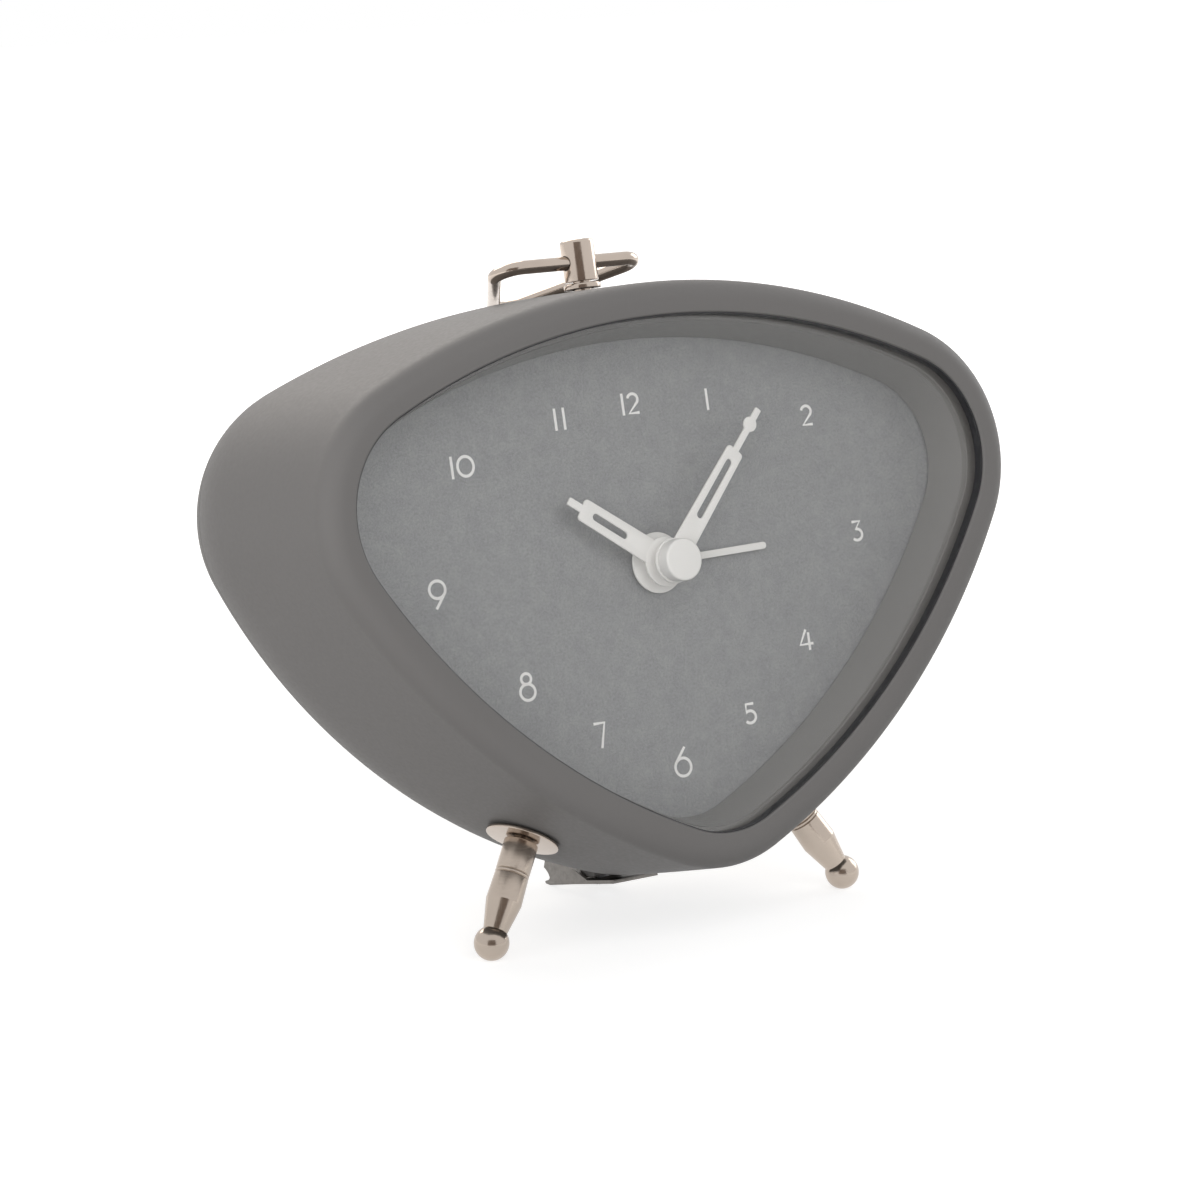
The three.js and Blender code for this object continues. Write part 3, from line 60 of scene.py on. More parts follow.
def addObject(name, data):
    obj = bpy.data.objects.new(name, data)
    bpy.context.scene.collection.objects.link(obj)
    return obj


def finishMesh(name, mesh, material, sharpAngle=32):
    bm = bmesh.new()
    bm.from_mesh(mesh)
    bmesh.ops.remove_doubles(bm, verts=bm.verts, dist=3e-7)
    bmesh.ops.recalc_face_normals(bm, faces=bm.faces)
    bm.to_mesh(mesh)
    bm.free()
    mesh.materials.clear()
    mesh.materials.append(material)
    mesh.polygons.foreach_set("use_smooth", [True] * len(mesh.polygons))
    mesh.set_sharp_from_angle(angle=math.radians(sharpAngle))
    mesh.update()
    return addObject(name, mesh)


def bakedMesh(obj):
    depsgraph = bpy.context.evaluated_depsgraph_get()
    mesh = bpy.data.meshes.new_from_object(obj.evaluated_get(depsgraph))
    mesh.transform(obj.matrix_world)
    bpy.data.objects.remove(obj)
    return mesh


def softenEdges(obj, edge, angle=30):
    bevel = obj.modifiers.new("edge", "BEVEL")
    bevel.width = edge * 0.001
    bevel.segments = 3
    bevel.limit_method = "ANGLE"
    bevel.angle_limit = math.radians(angle)


def skinned(name, rings, material, ends="loop"):
    count = len(rings[0])
    points = [point for ring in rings for point in ring]
    faces = []
    spans = len(rings) if ends == "loop" else len(rings) - 1
    for r in range(spans):
        here, there = r * count, ((r + 1) % len(rings)) * count
        for i in range(count):
            j = (i + 1) % count
            faces.append((here + i, here + j, there + j, there + i))
    if ends == "caps":
        faces.append(tuple(range(count)))
        faces.append(tuple(range((len(rings) - 1) * count, len(rings) * count)))
    return addMesh(name, points, faces, material)


def rounded(corners, steps=4, closed=False):
    out = []
    count = len(corners)
    for i, (x, y, *radius) in enumerate(corners):
        here = Vector((x, y))
        if not radius or (not closed and i in (0, count - 1)):
            out.append(here)
            continue
        before = Vector(corners[i - 1][:2])
        after = Vector(corners[(i + 1) % count][:2])
        toBefore, toAfter = (before - here), (after - here)
        half = toBefore.angle(toAfter) / 2
        reach = min(radius[0] / math.tan(half), toBefore.length * 0.49, toAfter.length * 0.49)
        start = here + toBefore.normalized() * reach
        end = here + toAfter.normalized() * reach
        for k in range(steps + 1):
            t = k / steps
            out.append(start * (1 - t) ** 2 + here * 2 * t * (1 - t) + end * t ** 2)
    return out


def axisFrame(axis):
    axis = Vector(axis).normalized()
    side = axis.orthogonal().normalized()
    return axis, side, axis.cross(side)


def turned(name, profile, seat, axis, material, segments=72, closed=False):
    axis, side, other = axisFrame(axis)
    seat = Vector(seat)
    points, rows = [], []
    for radius, reach in profile:
        middle = seat + axis * reach
        if radius < 1e-5:
            rows.append([len(points)])
            points.append(middle)
            continue
        rows.append(range(len(points), len(points) + segments))
        for k in range(segments):
            turn = 2 * math.pi * k / segments
            points.append(middle + (side * math.cos(turn) + other * math.sin(turn)) * radius)
    faces = []
    pairs = list(zip(rows, rows[1:])) + ([(rows[-1], rows[0])] if closed else [])
    for a, b in pairs:
        for k in range(segments):
            j = (k + 1) % segments
            if len(a) == 1 and len(b) == 1:
                continue
            if len(a) == 1:
                faces.append((a[0], b[k], b[j]))
            elif len(b) == 1:
                faces.append((a[k], a[j], b[0]))
            else:
                faces.append((a[k], a[j], b[j], b[k]))
    return addMesh(name, points, faces, material)


def flatSheet(name, loops, front, back, edge, material, turn=0.0):
    curve = bpy.data.curves.new(name, "CURVE")
    curve.dimensions = "2D"
    curve.fill_mode = "BOTH"
    curve.extrude = (back - front) / 2 - edge
    curve.bevel_depth = edge
    curve.bevel_resolution = 2
    curve.offset = -edge
    for loop in loops:
        spline = curve.splines.new("POLY")
        spline.points.add(len(loop) - 1)
        for point, (x, y) in zip(spline.points, loop):
            point.co = (x, y, 0, 1)
        spline.use_cyclic_u = True
    mesh = bakedMesh(addObject(name, curve))
    stand = Matrix.Rotation(math.radians(90), 4, "X")
    mesh.transform(toWorld @ Matrix.Translation((0, (front + back) / 2, 0))
                   @ Matrix.Rotation(math.radians(turn), 4, "Y") @ stand)
    return finishMesh(name, mesh, material)


def boxPoints(low, high):
    (x0, y0, z0), (x1, y1, z1) = low, high
    points = [(x, y, z) for x in (x0, x1) for y in (y0, y1) for z in (z0, z1)]
    faces = [(0, 1, 3, 2), (4, 6, 7, 5), (0, 4, 5, 1), (2, 3, 7, 6), (0, 2, 6, 4), (1, 5, 7, 3)]
    return points, faces


def addBox(name, low, high, material, edge=0.0):
    obj = addMesh(name, *boxPoints(low, high), material)
    if not edge:
        return obj
    softenEdges(obj, edge)
    return finishMesh(name, bakedMesh(obj), material)


def joinAll(name, objects, material):
    bm = bmesh.new()
    for obj in objects:
        bm.from_mesh(obj.data)
        bpy.data.objects.remove(obj)
    mesh = bpy.data.meshes.new(name)
    bm.to_mesh(mesh)
    bm.free()
    return finishMesh(name, mesh, material)


def cutWith(obj, cutter, material):
    name = obj.name
    obj.name = name + "Raw"
    cut = obj.modifiers.new("cut", "BOOLEAN")
    cut.operation = "DIFFERENCE"
    cut.solver = "EXACT"
    cut.object = cutter
    made = finishMesh(name, bakedMesh(obj), material)
    bpy.data.objects.remove(cutter)
    return made


def place(obj, body, slot, *nodes):
    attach(obj, body)
    if nodes:
        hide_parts(*nodes)


# Materials

def newMaterial(name, color, roughness, metallic=0.0):
    material = bpy.data.materials.new(name)
    material.use_nodes = True
    nodes = material.node_tree.nodes
    nodes.clear()
    output = nodes.new("ShaderNodeOutputMaterial")
    shader = nodes.new("ShaderNodeBsdfPrincipled")
    shader.inputs["Base Color"].default_value = (*color, 1)
    shader.inputs["Roughness"].default_value = roughness
    shader.inputs["Metallic"].default_value = metallic
    material.node_tree.links.new(shader.outputs[0], output.inputs[0])
    return material, nodes, material.node_tree.links, shader


def objectNoise(nodes, links, scale, detail=3.0, stretch=(1, 1, 1), turn=(0, 0, 0)):
    coords = nodes.new("ShaderNodeTexCoord")
    mapping = nodes.new("ShaderNodeMapping")
    mapping.inputs["Scale"].default_value = stretch
    mapping.inputs["Rotation"].default_value = turn
    noise = nodes.new("ShaderNodeTexNoise")
    noise.inputs["Scale"].default_value = scale
    noise.inputs["Detail"].default_value = detail
    links.new(coords.outputs["Object"], mapping.inputs["Vector"])
    links.new(mapping.outputs[0], noise.inputs["Vector"])
    return noise.outputs["Fac"]


noiseRange = (0.3, 0.7)  # where most of a noise's values lie


def ramped(nodes, links, source, dark, light):
    ramp = nodes.new("ShaderNodeValToRGB")
    for element, position, color in zip(ramp.color_ramp.elements, noiseRange, (dark, light)):
        element.position = position
        element.color = (*color, 1)
    links.new(source, ramp.inputs["Fac"])
    return ramp.outputs["Color"]


def spread(nodes, links, source, low, high, within=noiseRange):
    remap = nodes.new("ShaderNodeMapRange")
    for side, value in zip(("From Min", "From Max", "To Min", "To Max"), (*within, low, high)):
        remap.inputs[side].default_value = value
    links.new(source, remap.inputs["Value"])
    return remap.outputs[0]


def anyRay(nodes, links, *kinds):  # 1 where the ray is of one of these kinds, and else 0
    rays = nodes.new("ShaderNodeLightPath")
    found = rays.outputs[f"Is {kinds[0]} Ray"]
    for kind in kinds[1:]:
        either = nodes.new("ShaderNodeMath")
        either.operation = "MAXIMUM"
        links.new(found, either.inputs[0])
        links.new(rays.outputs[f"Is {kind} Ray"], either.inputs[1])
        found = either.outputs[0]
    return found


def addBump(nodes, links, shader, source, strength, distance):
    bump = nodes.new("ShaderNodeBump")
    bump.inputs["Strength"].default_value = strength
    bump.inputs["Distance"].default_value = distance
    links.new(source, bump.inputs["Height"])
    links.new(bump.outputs[0], shader.inputs["Normal"])


def tint(color, factor):
    return tuple(channel * factor for channel in color)


def grainyFinish(name, color, roughness, grain=900, depth=0.00002, contrast=0.06, gloss=0.5):
    material, nodes, links, shader = newMaterial(name, color, roughness)
    shader.inputs["Specular IOR Level"].default_value = gloss
    fine = objectNoise(nodes, links, grain, 2)
    broad = objectNoise(nodes, links, 30, 3)
    links.new(ramped(nodes, links, broad, tint(color, 1 - contrast), tint(color, 1 + contrast)),
              shader.inputs["Base Color"])
    links.new(spread(nodes, links, fine, roughness - 0.05, roughness + 0.05), shader.inputs["Roughness"])
    addBump(nodes, links, shader, fine, 0.25, depth)
    return material


def dialFinish():
    color = (0.262, 0.262, 0.265)
    material, nodes, links, shader = newMaterial("dialSilverGrey", color, 0.45, 0.25)
    shader.inputs["Specular IOR Level"].default_value = 0.35
    speck = objectNoise(nodes, links, 3200, 2)
    cloud = objectNoise(nodes, links, 420, 4)
    speckColor = ramped(nodes, links, speck, tint(color, 0.84), tint(color, 1.16))
    cloudColor = ramped(nodes, links, cloud, (0.93, 0.93, 0.94), (1.07, 1.07, 1.06))
    mix = nodes.new("ShaderNodeMix")
    mix.data_type = "RGBA"
    mix.blend_type = "MULTIPLY"
    mix.inputs["Factor"].default_value = 1.0
    links.new(speckColor, mix.inputs[6])
    links.new(cloudColor, mix.inputs[7])
    links.new(mix.outputs[2], shader.inputs["Base Color"])
    links.new(spread(nodes, links, speck, 0.36, 0.5), shader.inputs["Roughness"])
    addBump(nodes, links, shader, speck, 0.3, 0.00002)
    return material


def metalFinish(name, color, roughness, stretch=(1, 1, 1), turn=(0, 0, 0), grain=700, bump=0.12):
    material, nodes, links, shader = newMaterial(name, color, roughness, 1.0)
    fine = objectNoise(nodes, links, grain, 3, stretch, turn)
    broad = objectNoise(nodes, links, 90, 3)
    links.new(ramped(nodes, links, broad, tint(color, 0.93), tint(color, 1.05)),
              shader.inputs["Base Color"])
    links.new(spread(nodes, links, fine, roughness * 0.7, roughness * 1.35), shader.inputs["Roughness"])
    addBump(nodes, links, shader, fine, bump, 0.00001)
    return material


def lensFinish():
    material, nodes, links, shader = newMaterial("clearLens", (0.97, 0.98, 0.98), 0.02)
    shader.inputs["Transmission Weight"].default_value = 1.0
    shader.inputs["IOR"].default_value = 1.46
    output = next(node for node in nodes if node.type == "OUTPUT_MATERIAL")
    passing = anyRay(nodes, links, "Shadow", "Diffuse")  # light on the dial and from it isn't bent
    clear = nodes.new("ShaderNodeBsdfTransparent")
    mix = nodes.new("ShaderNodeMixShader")
    links.new(passing, mix.inputs[0])
    links.new(shader.outputs[0], mix.inputs[1])
    links.new(clear.outputs[0], mix.inputs[2])
    links.new(mix.outputs[0], output.inputs[0])
    return material


def windingFinish():
    color = (0.46, 0.17, 0.07)
    material, nodes, links, shader = newMaterial("woundCopper", color, 0.3, 1.0)
    coords = nodes.new("ShaderNodeTexCoord")
    wave = nodes.new("ShaderNodeTexWave")
    wave.bands_direction = "Z"
    wave.inputs["Scale"].default_value = 1800
    links.new(coords.outputs["Object"], wave.inputs["Vector"])
    links.new(ramped(nodes, links, wave.outputs["Fac"], tint(color, 0.6), tint(color, 1.1)),
              shader.inputs["Base Color"])
    addBump(nodes, links, shader, wave.outputs["Fac"], 0.5, 0.00004)
    return material


def legTurn(axis):
    return Vector((0, 0, 1)).rotation_difference(Vector(axis)).inverted().to_euler()


finish = {
    "paint": grainyFinish("caseGreyPaint", (0.172, 0.166, 0.163), 0.55, grain=1500, depth=0.000012,
                          contrast=0.02, gloss=0.3),
    "coverPlastic": grainyFinish("coverGreyPlastic", (0.165, 0.160, 0.156), 0.6, grain=1800, depth=0.00003,
                                 contrast=0.03, gloss=0.35),
    "taupe": grainyFinish("bezelTaupe", (0.178, 0.170, 0.162), 0.38,
                          grain=1200, depth=0.00001, contrast=0.03),
    "rubber": grainyFinish("gasketBlack", (0.012, 0.012, 0.014), 0.42,
                           grain=1200, depth=0.00001, contrast=0.1),
    "dial": dialFinish(),
    "enamel": grainyFinish("handEnamel", (0.85, 0.83, 0.805), 0.42,
                           grain=900, depth=0.000006, contrast=0.015),
    "print": grainyFinish("numeralPrint", (0.88, 0.865, 0.85), 0.6,
                          grain=2500, depth=0.000004, contrast=0.03),
    "nickel": metalFinish("brightNickel", (0.52, 0.445, 0.385), 0.16),
    "satinNickel": metalFinish("satinNickel", (0.42, 0.365, 0.315), 0.27),
    "standSteel": metalFinish("standSteel", (0.215, 0.203, 0.19), 0.42, grain=1500, bump=0.2),
    "zinc": metalFinish("zincPlate", (0.46, 0.47, 0.49), 0.32),
    "brass": metalFinish("brassStamped", (0.60, 0.42, 0.18), 0.28),
    "copper": windingFinish(),
    "black": grainyFinish("blackPlastic", (0.018, 0.018, 0.020), 0.48,
                          grain=1600, depth=0.00003, contrast=0.12),
    "natural": grainyFinish("naturalPlastic", (0.74, 0.72, 0.66), 0.45,
                            grain=1200, depth=0.00002, contrast=0.03),
    "board": grainyFinish("boardGreen", (0.03, 0.13, 0.06), 0.4,
                          grain=1400, depth=0.00001, contrast=0.12),
    "cell": grainyFinish("cellJacket", (0.05, 0.075, 0.12), 0.35,
                         grain=900, depth=0.00001, contrast=0.08),
    "red": grainyFinish("redInsulation", (0.4, 0.02, 0.015), 0.45,
                        grain=900, depth=0.00001, contrast=0.06),
    "lens": lensFinish(),
}

slotFinish = {
    "grey_paint": "paint", "grey_plastic": "coverPlastic", "clear_lens": "lens", "taupe_plastic": "taupe",
    "dark_rubber": "rubber", "dial_metal": "dial", "hand_enamel": "enamel", "satin_nickel": "satinNickel",
    "bright_nickel": "nickel", "zinc": "zinc", "brass": "brass", "copper": "copper",
    "black_plastic": "black", "natural_plastic": "natural", "green_board": "board",
    "cell_jacket": "cell", "red_plastic": "red",
}
for part in frame["record"]["subparts"]:
    node = frame["nodes"][part["node"]]
    for nodeSlot in node.material_slots:
        nodeSlot.material = finish[slotFinish[part["material_slot"]]]
print("finishes made")


# Case

# The outline is four arcs a side. It swells from the rim to the joint with the cover, and the back
# curves in behind that. Depths count from the dial's face, and those before it are negative.
caseShape = {
    "halfWidth": 64.25, "top": 43, "bottom": -47.8,
    "radii": (120, 22, 115.6, 22),  # top, shoulder, flank and chin at the rim
    "radiiBack": (142.5, 22, 95.6, 19.4),  # and at the widest section
    "sideSwell": 2.2, "topSwell": 1.15, "bottomSwell": 0.9,
    "rimFront": -12, "joint": 24, "back": 36, "backInset": 14.5, "backCurve": 20,
    "wall": 0.8, "rimRound": 3.5, "rimWidth": 5.4, "rimEdge": 0.35, "seam": 0.1,
    "steps": (24, 36, 32, 16),
}


def swellAt(y):
    start = caseShape["rimFront"] + caseShape["rimRound"]
    share = min(max((y - start) / (caseShape["joint"] - start), 0), 1)
    return math.sin(share * math.pi / 2)


def arcCentre(a, reachA, b, reachB):
    span = (b - a).length
    along = (reachA ** 2 - reachB ** 2 + span ** 2) / (2 * span)
    aside = math.sqrt(reachA ** 2 - along ** 2)
    way = (b - a) / span
    return Vector((a.x + along * way.x + aside * way.y, a.y + along * way.y - aside * way.x))


def tuckAt(y, depth=0.0):
    c = caseShape
    reach = c["backCurve"] - depth
    share = min(max((y - c["back"] + c["backCurve"]) / reach, 0), 1)
    return c["backInset"] - (c["backInset"] - depth) * math.sqrt(1 - share ** 2)


def wall(inset, y):
    return inset + tuckAt(y), y, swellAt(y)


def crownAt(y):
    return caseShape["top"] + caseShape["topSwell"] * swellAt(y) - tuckAt(y)


def caseArcs(swell):
    c = caseShape
    radii = [a + (b - a) * swell for a, b in zip(c["radii"], c["radiiBack"])]
    top, shoulder, flank, chin = radii
    reach = c["halfWidth"] + c["sideSwell"] * swell - shoulder
    topAt = Vector((0, c["top"] + c["topSwell"] * swell - top))
    shoulderAt = Vector((reach, topAt.y + math.sqrt((top - shoulder) ** 2 - reach ** 2)))
    chinAt = Vector((0, c["bottom"] - c["bottomSwell"] * swell + chin))
    flankAt = arcCentre(shoulderAt, flank - shoulder, chinAt, flank - chin)
    return (topAt, shoulderAt, flankAt, chinAt), radii


def heading(a, b):
    return math.atan2(b.y - a.y, b.x - a.x)


def caseOutline(inset, swell):
    centres, radii = caseArcs(swell)
    top, shoulder, flank, chin = centres
    turns = [math.pi / 2, heading(top, shoulder), heading(flank, shoulder), heading(flank, chin),
             -math.pi / 2]
    right = []
    for n, (centre, radius, count) in enumerate(zip(centres, radii, caseShape["steps"])):
        for i in range(count):
            turn = turns[n] + (turns[n + 1] - turns[n]) * i / count
            reach = radius - inset
            right.append((centre.x + reach * math.cos(turn), centre.y + reach * math.sin(turn)))
    bottom = (0, chin.y - radii[3] + inset)
    return right + [bottom] + [(-x, z) for x, z in reversed(right[1:])]


def hoopRings(profile):
    return [[(x, y, z) for x, z in caseOutline(inset, swell)] for inset, y, swell in profile]


def makeCaseShell():
    c = caseShape
    front, radius = c["rimFront"], c["rimRound"]
    start = front + radius
    stations = [c["joint"] - (c["joint"] - start) * k / 20 for k in range(21)]
    outer = [wall(c["seam"], c["joint"]), wall(0, c["joint"] - c["seam"])]
    outer += [wall(0, y) for y in stations[1:]]
    outer += [(radius * (1 - math.cos(t)), start - radius * math.sin(t), 0)
              for t in (math.pi / 2 * k / 12 for k in range(1, 13))]
    edge = c["rimEdge"]
    lip = c["rimWidth"] - edge
    outer += [(lip + edge * math.sin(t), front + edge * (1 - math.cos(t)), 0)
              for t in (math.pi / 2 * k / 5 for k in range(6))]
    inner = [(c["rimWidth"], front + c["wall"], 0)]
    innerRadius = radius - c["wall"]
    inner += [(radius - innerRadius * math.cos(t), start - innerRadius * math.sin(t), 0)
              for t in (math.pi / 2 * (1 - k / 6) for k in range(7))]
    inner += [wall(c["wall"], y) for y in (0, 8, 16, 20, c["joint"])]
    shell = skinned("caseShell", hoopRings(outer + inner), finish["paint"])
    place(shell, "clock", "grey_paint", "case_shell")


# Each corner: how far inside the case's outline, how deep, and its rounding
rimSections = {
    "gasket": [(3.2, -11.1), (5.42, -11.1), (5.43, -11.68), (5.6, -11.6, 0.08), (5.68, -10.05, 0.15),
               (5.5, -9.9, 0.05), (3.2, -9.9)],
    "bezel": [(1.6, -8.3), (6.25, -8.3, 0.1), (6.3, -8.1), (6.4, -8.1), (6.45, -8.25, 0.12),
              (8.0, -0.35, 0.12), (7.9, -0.3), (6.8, -0.3), (5.0, -7.1), (1.6, -7.1)],
}


def makeGasket():
    profile = rounded(rimSections["gasket"], 4)
    ring = skinned("lensGasket", hoopRings([(p.x, p.y, 0) for p in profile]), finish["rubber"])
    place(ring, "clock", "dark_rubber", "lens_gasket")


def makeBezel():
    profile = rounded(rimSections["bezel"], 3, closed=True)
    ring = skinned("innerBezel", hoopRings([(p.x, p.y, 0) for p in profile]), finish["taupe"])
    place(ring, "clock", "taupe_plastic", "inner_bezel")


makeCaseShell()
makeGasket()
makeBezel()
print("case, gasket and bezel made")


# Dial numerals, drawn as strokes in a box one high

numerals = {
    "stroke": 0.47, "raise": 0.05, "wide": 1.13,  # wide stretches each digit sideways
    "radius": {12: 24.94, 1: 27.9, 11: 27.9, 2: 37.78, 10: 37.78, 3: 40.0, 9: 40.0,
               4: 31.05, 8: 31.05, 5: 28.81, 7: 28.81, 6: 31.31},
    # how far some stand off their hour lines, to the right and up
    "shift": {1: (0.16, 0.19), 2: (0.38, 1.07), 3: (0, 0.51), 5: (-0.3, -0.63), 8: (0.36, -0.32),
              10: (0.19, -0.37), 11: (0, -0.23), 12: (-0.51, 0.1)},
    "height": {6: 4.75, 7: 4.1, 8: 4.6, 9: 4.5},
    "plainHeight": 3.48,
    "gap": {10: 0.34, 11: 0.54, 12: 0.33},  # between two digits, as a share of their height
}


def arcStroke(x, y, radiusX, radiusY, start, end, steps=28):
    angles = (math.radians(start + (end - start) * k / steps) for k in range(steps + 1))
    return [(x + radiusX * math.cos(t), y + radiusY * math.sin(t)) for t in angles]


def digitStrokes(digit):
    ring = arcStroke(0, 0.33, 0.31, 0.33, 0, 360)
    return {
        "0": (0.84, [arcStroke(0, 0.5, 0.42, 0.5, 0, 360)]),
        "1": (0.0, [[(0, -0.07), (0, 1.07)]]),
        "2": (0.56, [arcStroke(0, 0.71, 0.28, 0.29, 165, -35, 20) + [(-0.26, 0), (0.3, 0)]]),
        "3": (0.56, [[(-0.25, 1), (0.22, 1), (-0.06, 0.6)]
                     + arcStroke(-0.02, 0.3, 0.3, 0.3, 85, -140, 22)]),
        "4": (0.66, [[(0.04, 1.04), (-0.36, 0.27), (0.4, 0.27)], [(0.17, 0.88), (0.17, -0.07)]]),
        "5": (0.56, [[(0.24, 1), (-0.2, 1), (-0.22, 0.56)]
                     + arcStroke(-0.03, 0.32, 0.32, 0.32, 120, -140, 22)]),
        "6": (0.6, [ring, arcStroke(0, 0.33, 0.31, 0.33, 180, 140, 6) + [(0.14, 1.05)]]),
        "7": (0.5, [[(-0.27, 1), (0.22, 1), (-0.02, -0.06)]]),
        "8": (0.56, [arcStroke(0, 0.79, 0.19, 0.2, 0, 360), arcStroke(0, 0.3, 0.29, 0.3, 0, 360)]),
        "9": (0.6, [arcStroke(0, 0.67, 0.31, 0.33, 0, 360),
                    arcStroke(0, 0.67, 0.31, 0.33, 0, -40, 6) + [(-0.12, -0.05)]]),
    }[digit]


def hourStrokes(hour):
    n = numerals
    height = n["height"].get(hour, n["plainHeight"]) - n["stroke"]
    radius, turn, shift = n["radius"][hour], math.radians(30 * hour), n["shift"].get(hour, (0, 0))
    middleX, middleZ = radius * math.sin(turn) + shift[0], radius * math.cos(turn) + shift[1]
    wide, gap = n["wide"] * height, n["gap"].get(hour, 0) * height
    widths = [digitStrokes(digit)[0] * wide for digit in str(hour)]
    x = middleX - (sum(widths) + gap * (len(widths) - 1)) / 2
    for digit, width in zip(str(hour), widths):
        for stroke in digitStrokes(digit)[1]:
            yield [(x + width / 2 + u * wide, middleZ - height / 2 + v * height) for u, v in stroke]
        x += width + gap


def makeNumerals():
    curve = bpy.data.curves.new("numerals", "CURVE")
    curve.dimensions = "3D"
    curve.bevel_depth = numerals["stroke"] / 2
    curve.bevel_resolution = 3
    curve.use_fill_caps = True
    for stroke in (stroke for hour in range(1, 13) for stroke in hourStrokes(hour)):
        closedRing = math.dist(stroke[0], stroke[-1]) < 1e-6
        stroke = stroke[:-1] if closedRing else stroke
        spline = curve.splines.new("POLY")
        spline.points.add(len(stroke) - 1)
        for point, (x, z) in zip(spline.points, stroke):
            point.co = (x, z, 0, 1)
        spline.use_cyclic_u = closedRing
    mesh = bakedMesh(addObject("numerals", curve))
    flatten = Matrix.Diagonal((1, numerals["raise"] / numerals["stroke"], 1, 1))
    mesh.transform(toWorld @ Matrix.Translation((0, -numerals["raise"] / 2, 0)) @ flatten
                   @ Matrix.Rotation(math.radians(90), 4, "X"))
    place(finishMesh("dialNumerals", mesh, finish["print"], 50), "clock", "hand_enamel")


makeNumerals()
print("numerals printed")


# Hands

handShape = {
    "alarm": {"front": -1.0, "back": -0.6, "hub": 4.75, "pipe": 2.6, "pipeFront": -0.4, "turn": 89,
              "length": 21, "width": 1.13},
    "hour": {"front": -3.3, "back": -2.9, "hub": 3.9, "pipe": 1.85, "pipeFront": -1.9, "turn": -55.5,
             "length": 20, "shoulder": 17.4, "root": 4.0, "end": 3.6, "slotFrom": 8.1, "slotTo": 15.1,
             "slotWidth": 1.15, "neck": 1.25, "bead": 0, "beadAt": 0},
    "minute": {"front": -5.5, "back": -5.1, "hub": 3.5, "pipe": 1.1, "pipeFront": -4.2, "turn": 42.5,
               "length": 29.4, "shoulder": 21.4, "root": 3.9, "end": 3.2, "slotFrom": 8.2, "slotTo": 19.5,
               "slotWidth": 1.2, "neck": 1.1, "bead": 1.2, "beadAt": 26.4},
    "cap": {"back": -5.65, "front": -8.15, "radius": 3.3},
}


def roundEnd(x, y, radius, start, end, steps=10):
    return arcStroke(x, y, radius, radius, start, end, steps)


def batonLoops(h):
    end, neck, shoulder = h["end"] / 2, h["neck"] / 2, h["shoulder"]
    soft = 0.6  # round corners of the broad part's end
    right = [(h["root"] / 2, 0)]
    right += roundEnd(end - soft, shoulder - soft, soft, 0, 90, 6) + [(neck, shoulder)]
    if h["bead"]:
        turn = math.degrees(math.asin(neck / h["bead"]))
        right += roundEnd(0, h["beadAt"], h["bead"], turn - 90, 90 - turn, 14)
    square = 0.2  # corners of the squared tip
    tip = roundEnd(neck - square, h["length"] - square, square, 0, 90, 4)
    tip += roundEnd(square - neck, h["length"] - square, square, 90, 180, 4)
    left = [(-x, y) for x, y in reversed(right)]
    half = h["slotWidth"] / 2
    slot = roundEnd(0, h["slotTo"] - half, half, 0, 180, 8)
    slot += roundEnd(0, h["slotFrom"] + half, half, 180, 360, 8)
    return [right + tip + left, slot]


def makeHand(kind, nodeName):
    h = handShape[kind]
    if kind == "alarm":
        half = h["width"] / 2
        loops = [[(-half, 0), (half, 0)] + roundEnd(0, h["length"] - half, half, 0, 180, 8)]
    else:
        loops = batonLoops(h)
    blade = flatSheet(kind + "Blade", loops, h["front"], h["back"], 0.07, finish["enamel"], h["turn"])
    face = h["front"] - 0.02
    hubProfile = rounded([(0, h["back"]), (h["hub"], h["back"], 0.08), (h["hub"], face, 0.12), (0, face)], 3)
    hub = turned(kind + "Hub", hubProfile, (0, 0, 0), (0, 1, 0), finish["enamel"])
    pipe, start, inside = h["pipe"], h["pipeFront"], h["back"] - 0.1
    collar = turned(kind + "Collar", [(0, start), (pipe, start), (pipe, inside), (0, inside)],
                    (0, 0, 0), (0, 1, 0), finish["enamel"], 40)
    hand = joinAll(kind + "Hand", [blade, hub, collar], finish["enamel"])
    place(hand, kind, "hand_enamel", nodeName)


def makeCap():
    c = handShape["cap"]
    profile = rounded([(0, c["back"]), (c["radius"], c["back"], 0.15), (c["radius"], c["front"], 0.4),
                       (0, c["front"])], 5)
    cap = turned("handCap", profile, (0, 0, 0), (0, 1, 0), finish["enamel"], 80)
    place(cap, "minute", "hand_enamel", "hand_cap")


for handKind, handNode in (("alarm", "alarm_hand"), ("hour", "hour_hand"), ("minute", "minute_hand")):
    makeHand(handKind, handNode)
makeCap()
print("hands made")


# Legs, post and bail

legShape = {  # the seat is on the flank; the body, taper and ball follow each other along the leg
    "seatX": 24.85, "seatY": 9.1, "radius": 2.7, "body": 9.9, "taper": 4.7, "neck": 1.9, "ball": 2.75,
    "grooveAt": 5, "grooveDepth": 0.2, "washerRadius": 5.8, "washer": 0.5, "gap": 0.3,
    "stud": 1.4, "studDepth": 3, "bore": 1.8, "color": (0.49, 0.42, 0.36), "roughness": 0.2,
}


def flankSeat(x, y):
    def height(depth):
        centres, radii = caseArcs(swellAt(depth))
        return centres[2].y - math.sqrt((radii[2] - tuckAt(depth)) ** 2 - (x - centres[2].x) ** 2)
    flank = caseArcs(swellAt(y))[0][2]
    seat = Vector((x, y, height(y)))
    across = Vector((x - flank.x, 0, seat.z - flank.y)).normalized()
    back = Vector((0, 1, height(y + 0.5) - height(y - 0.5))).normalized()
    return seat, (across - back * across.dot(back)).normalized()


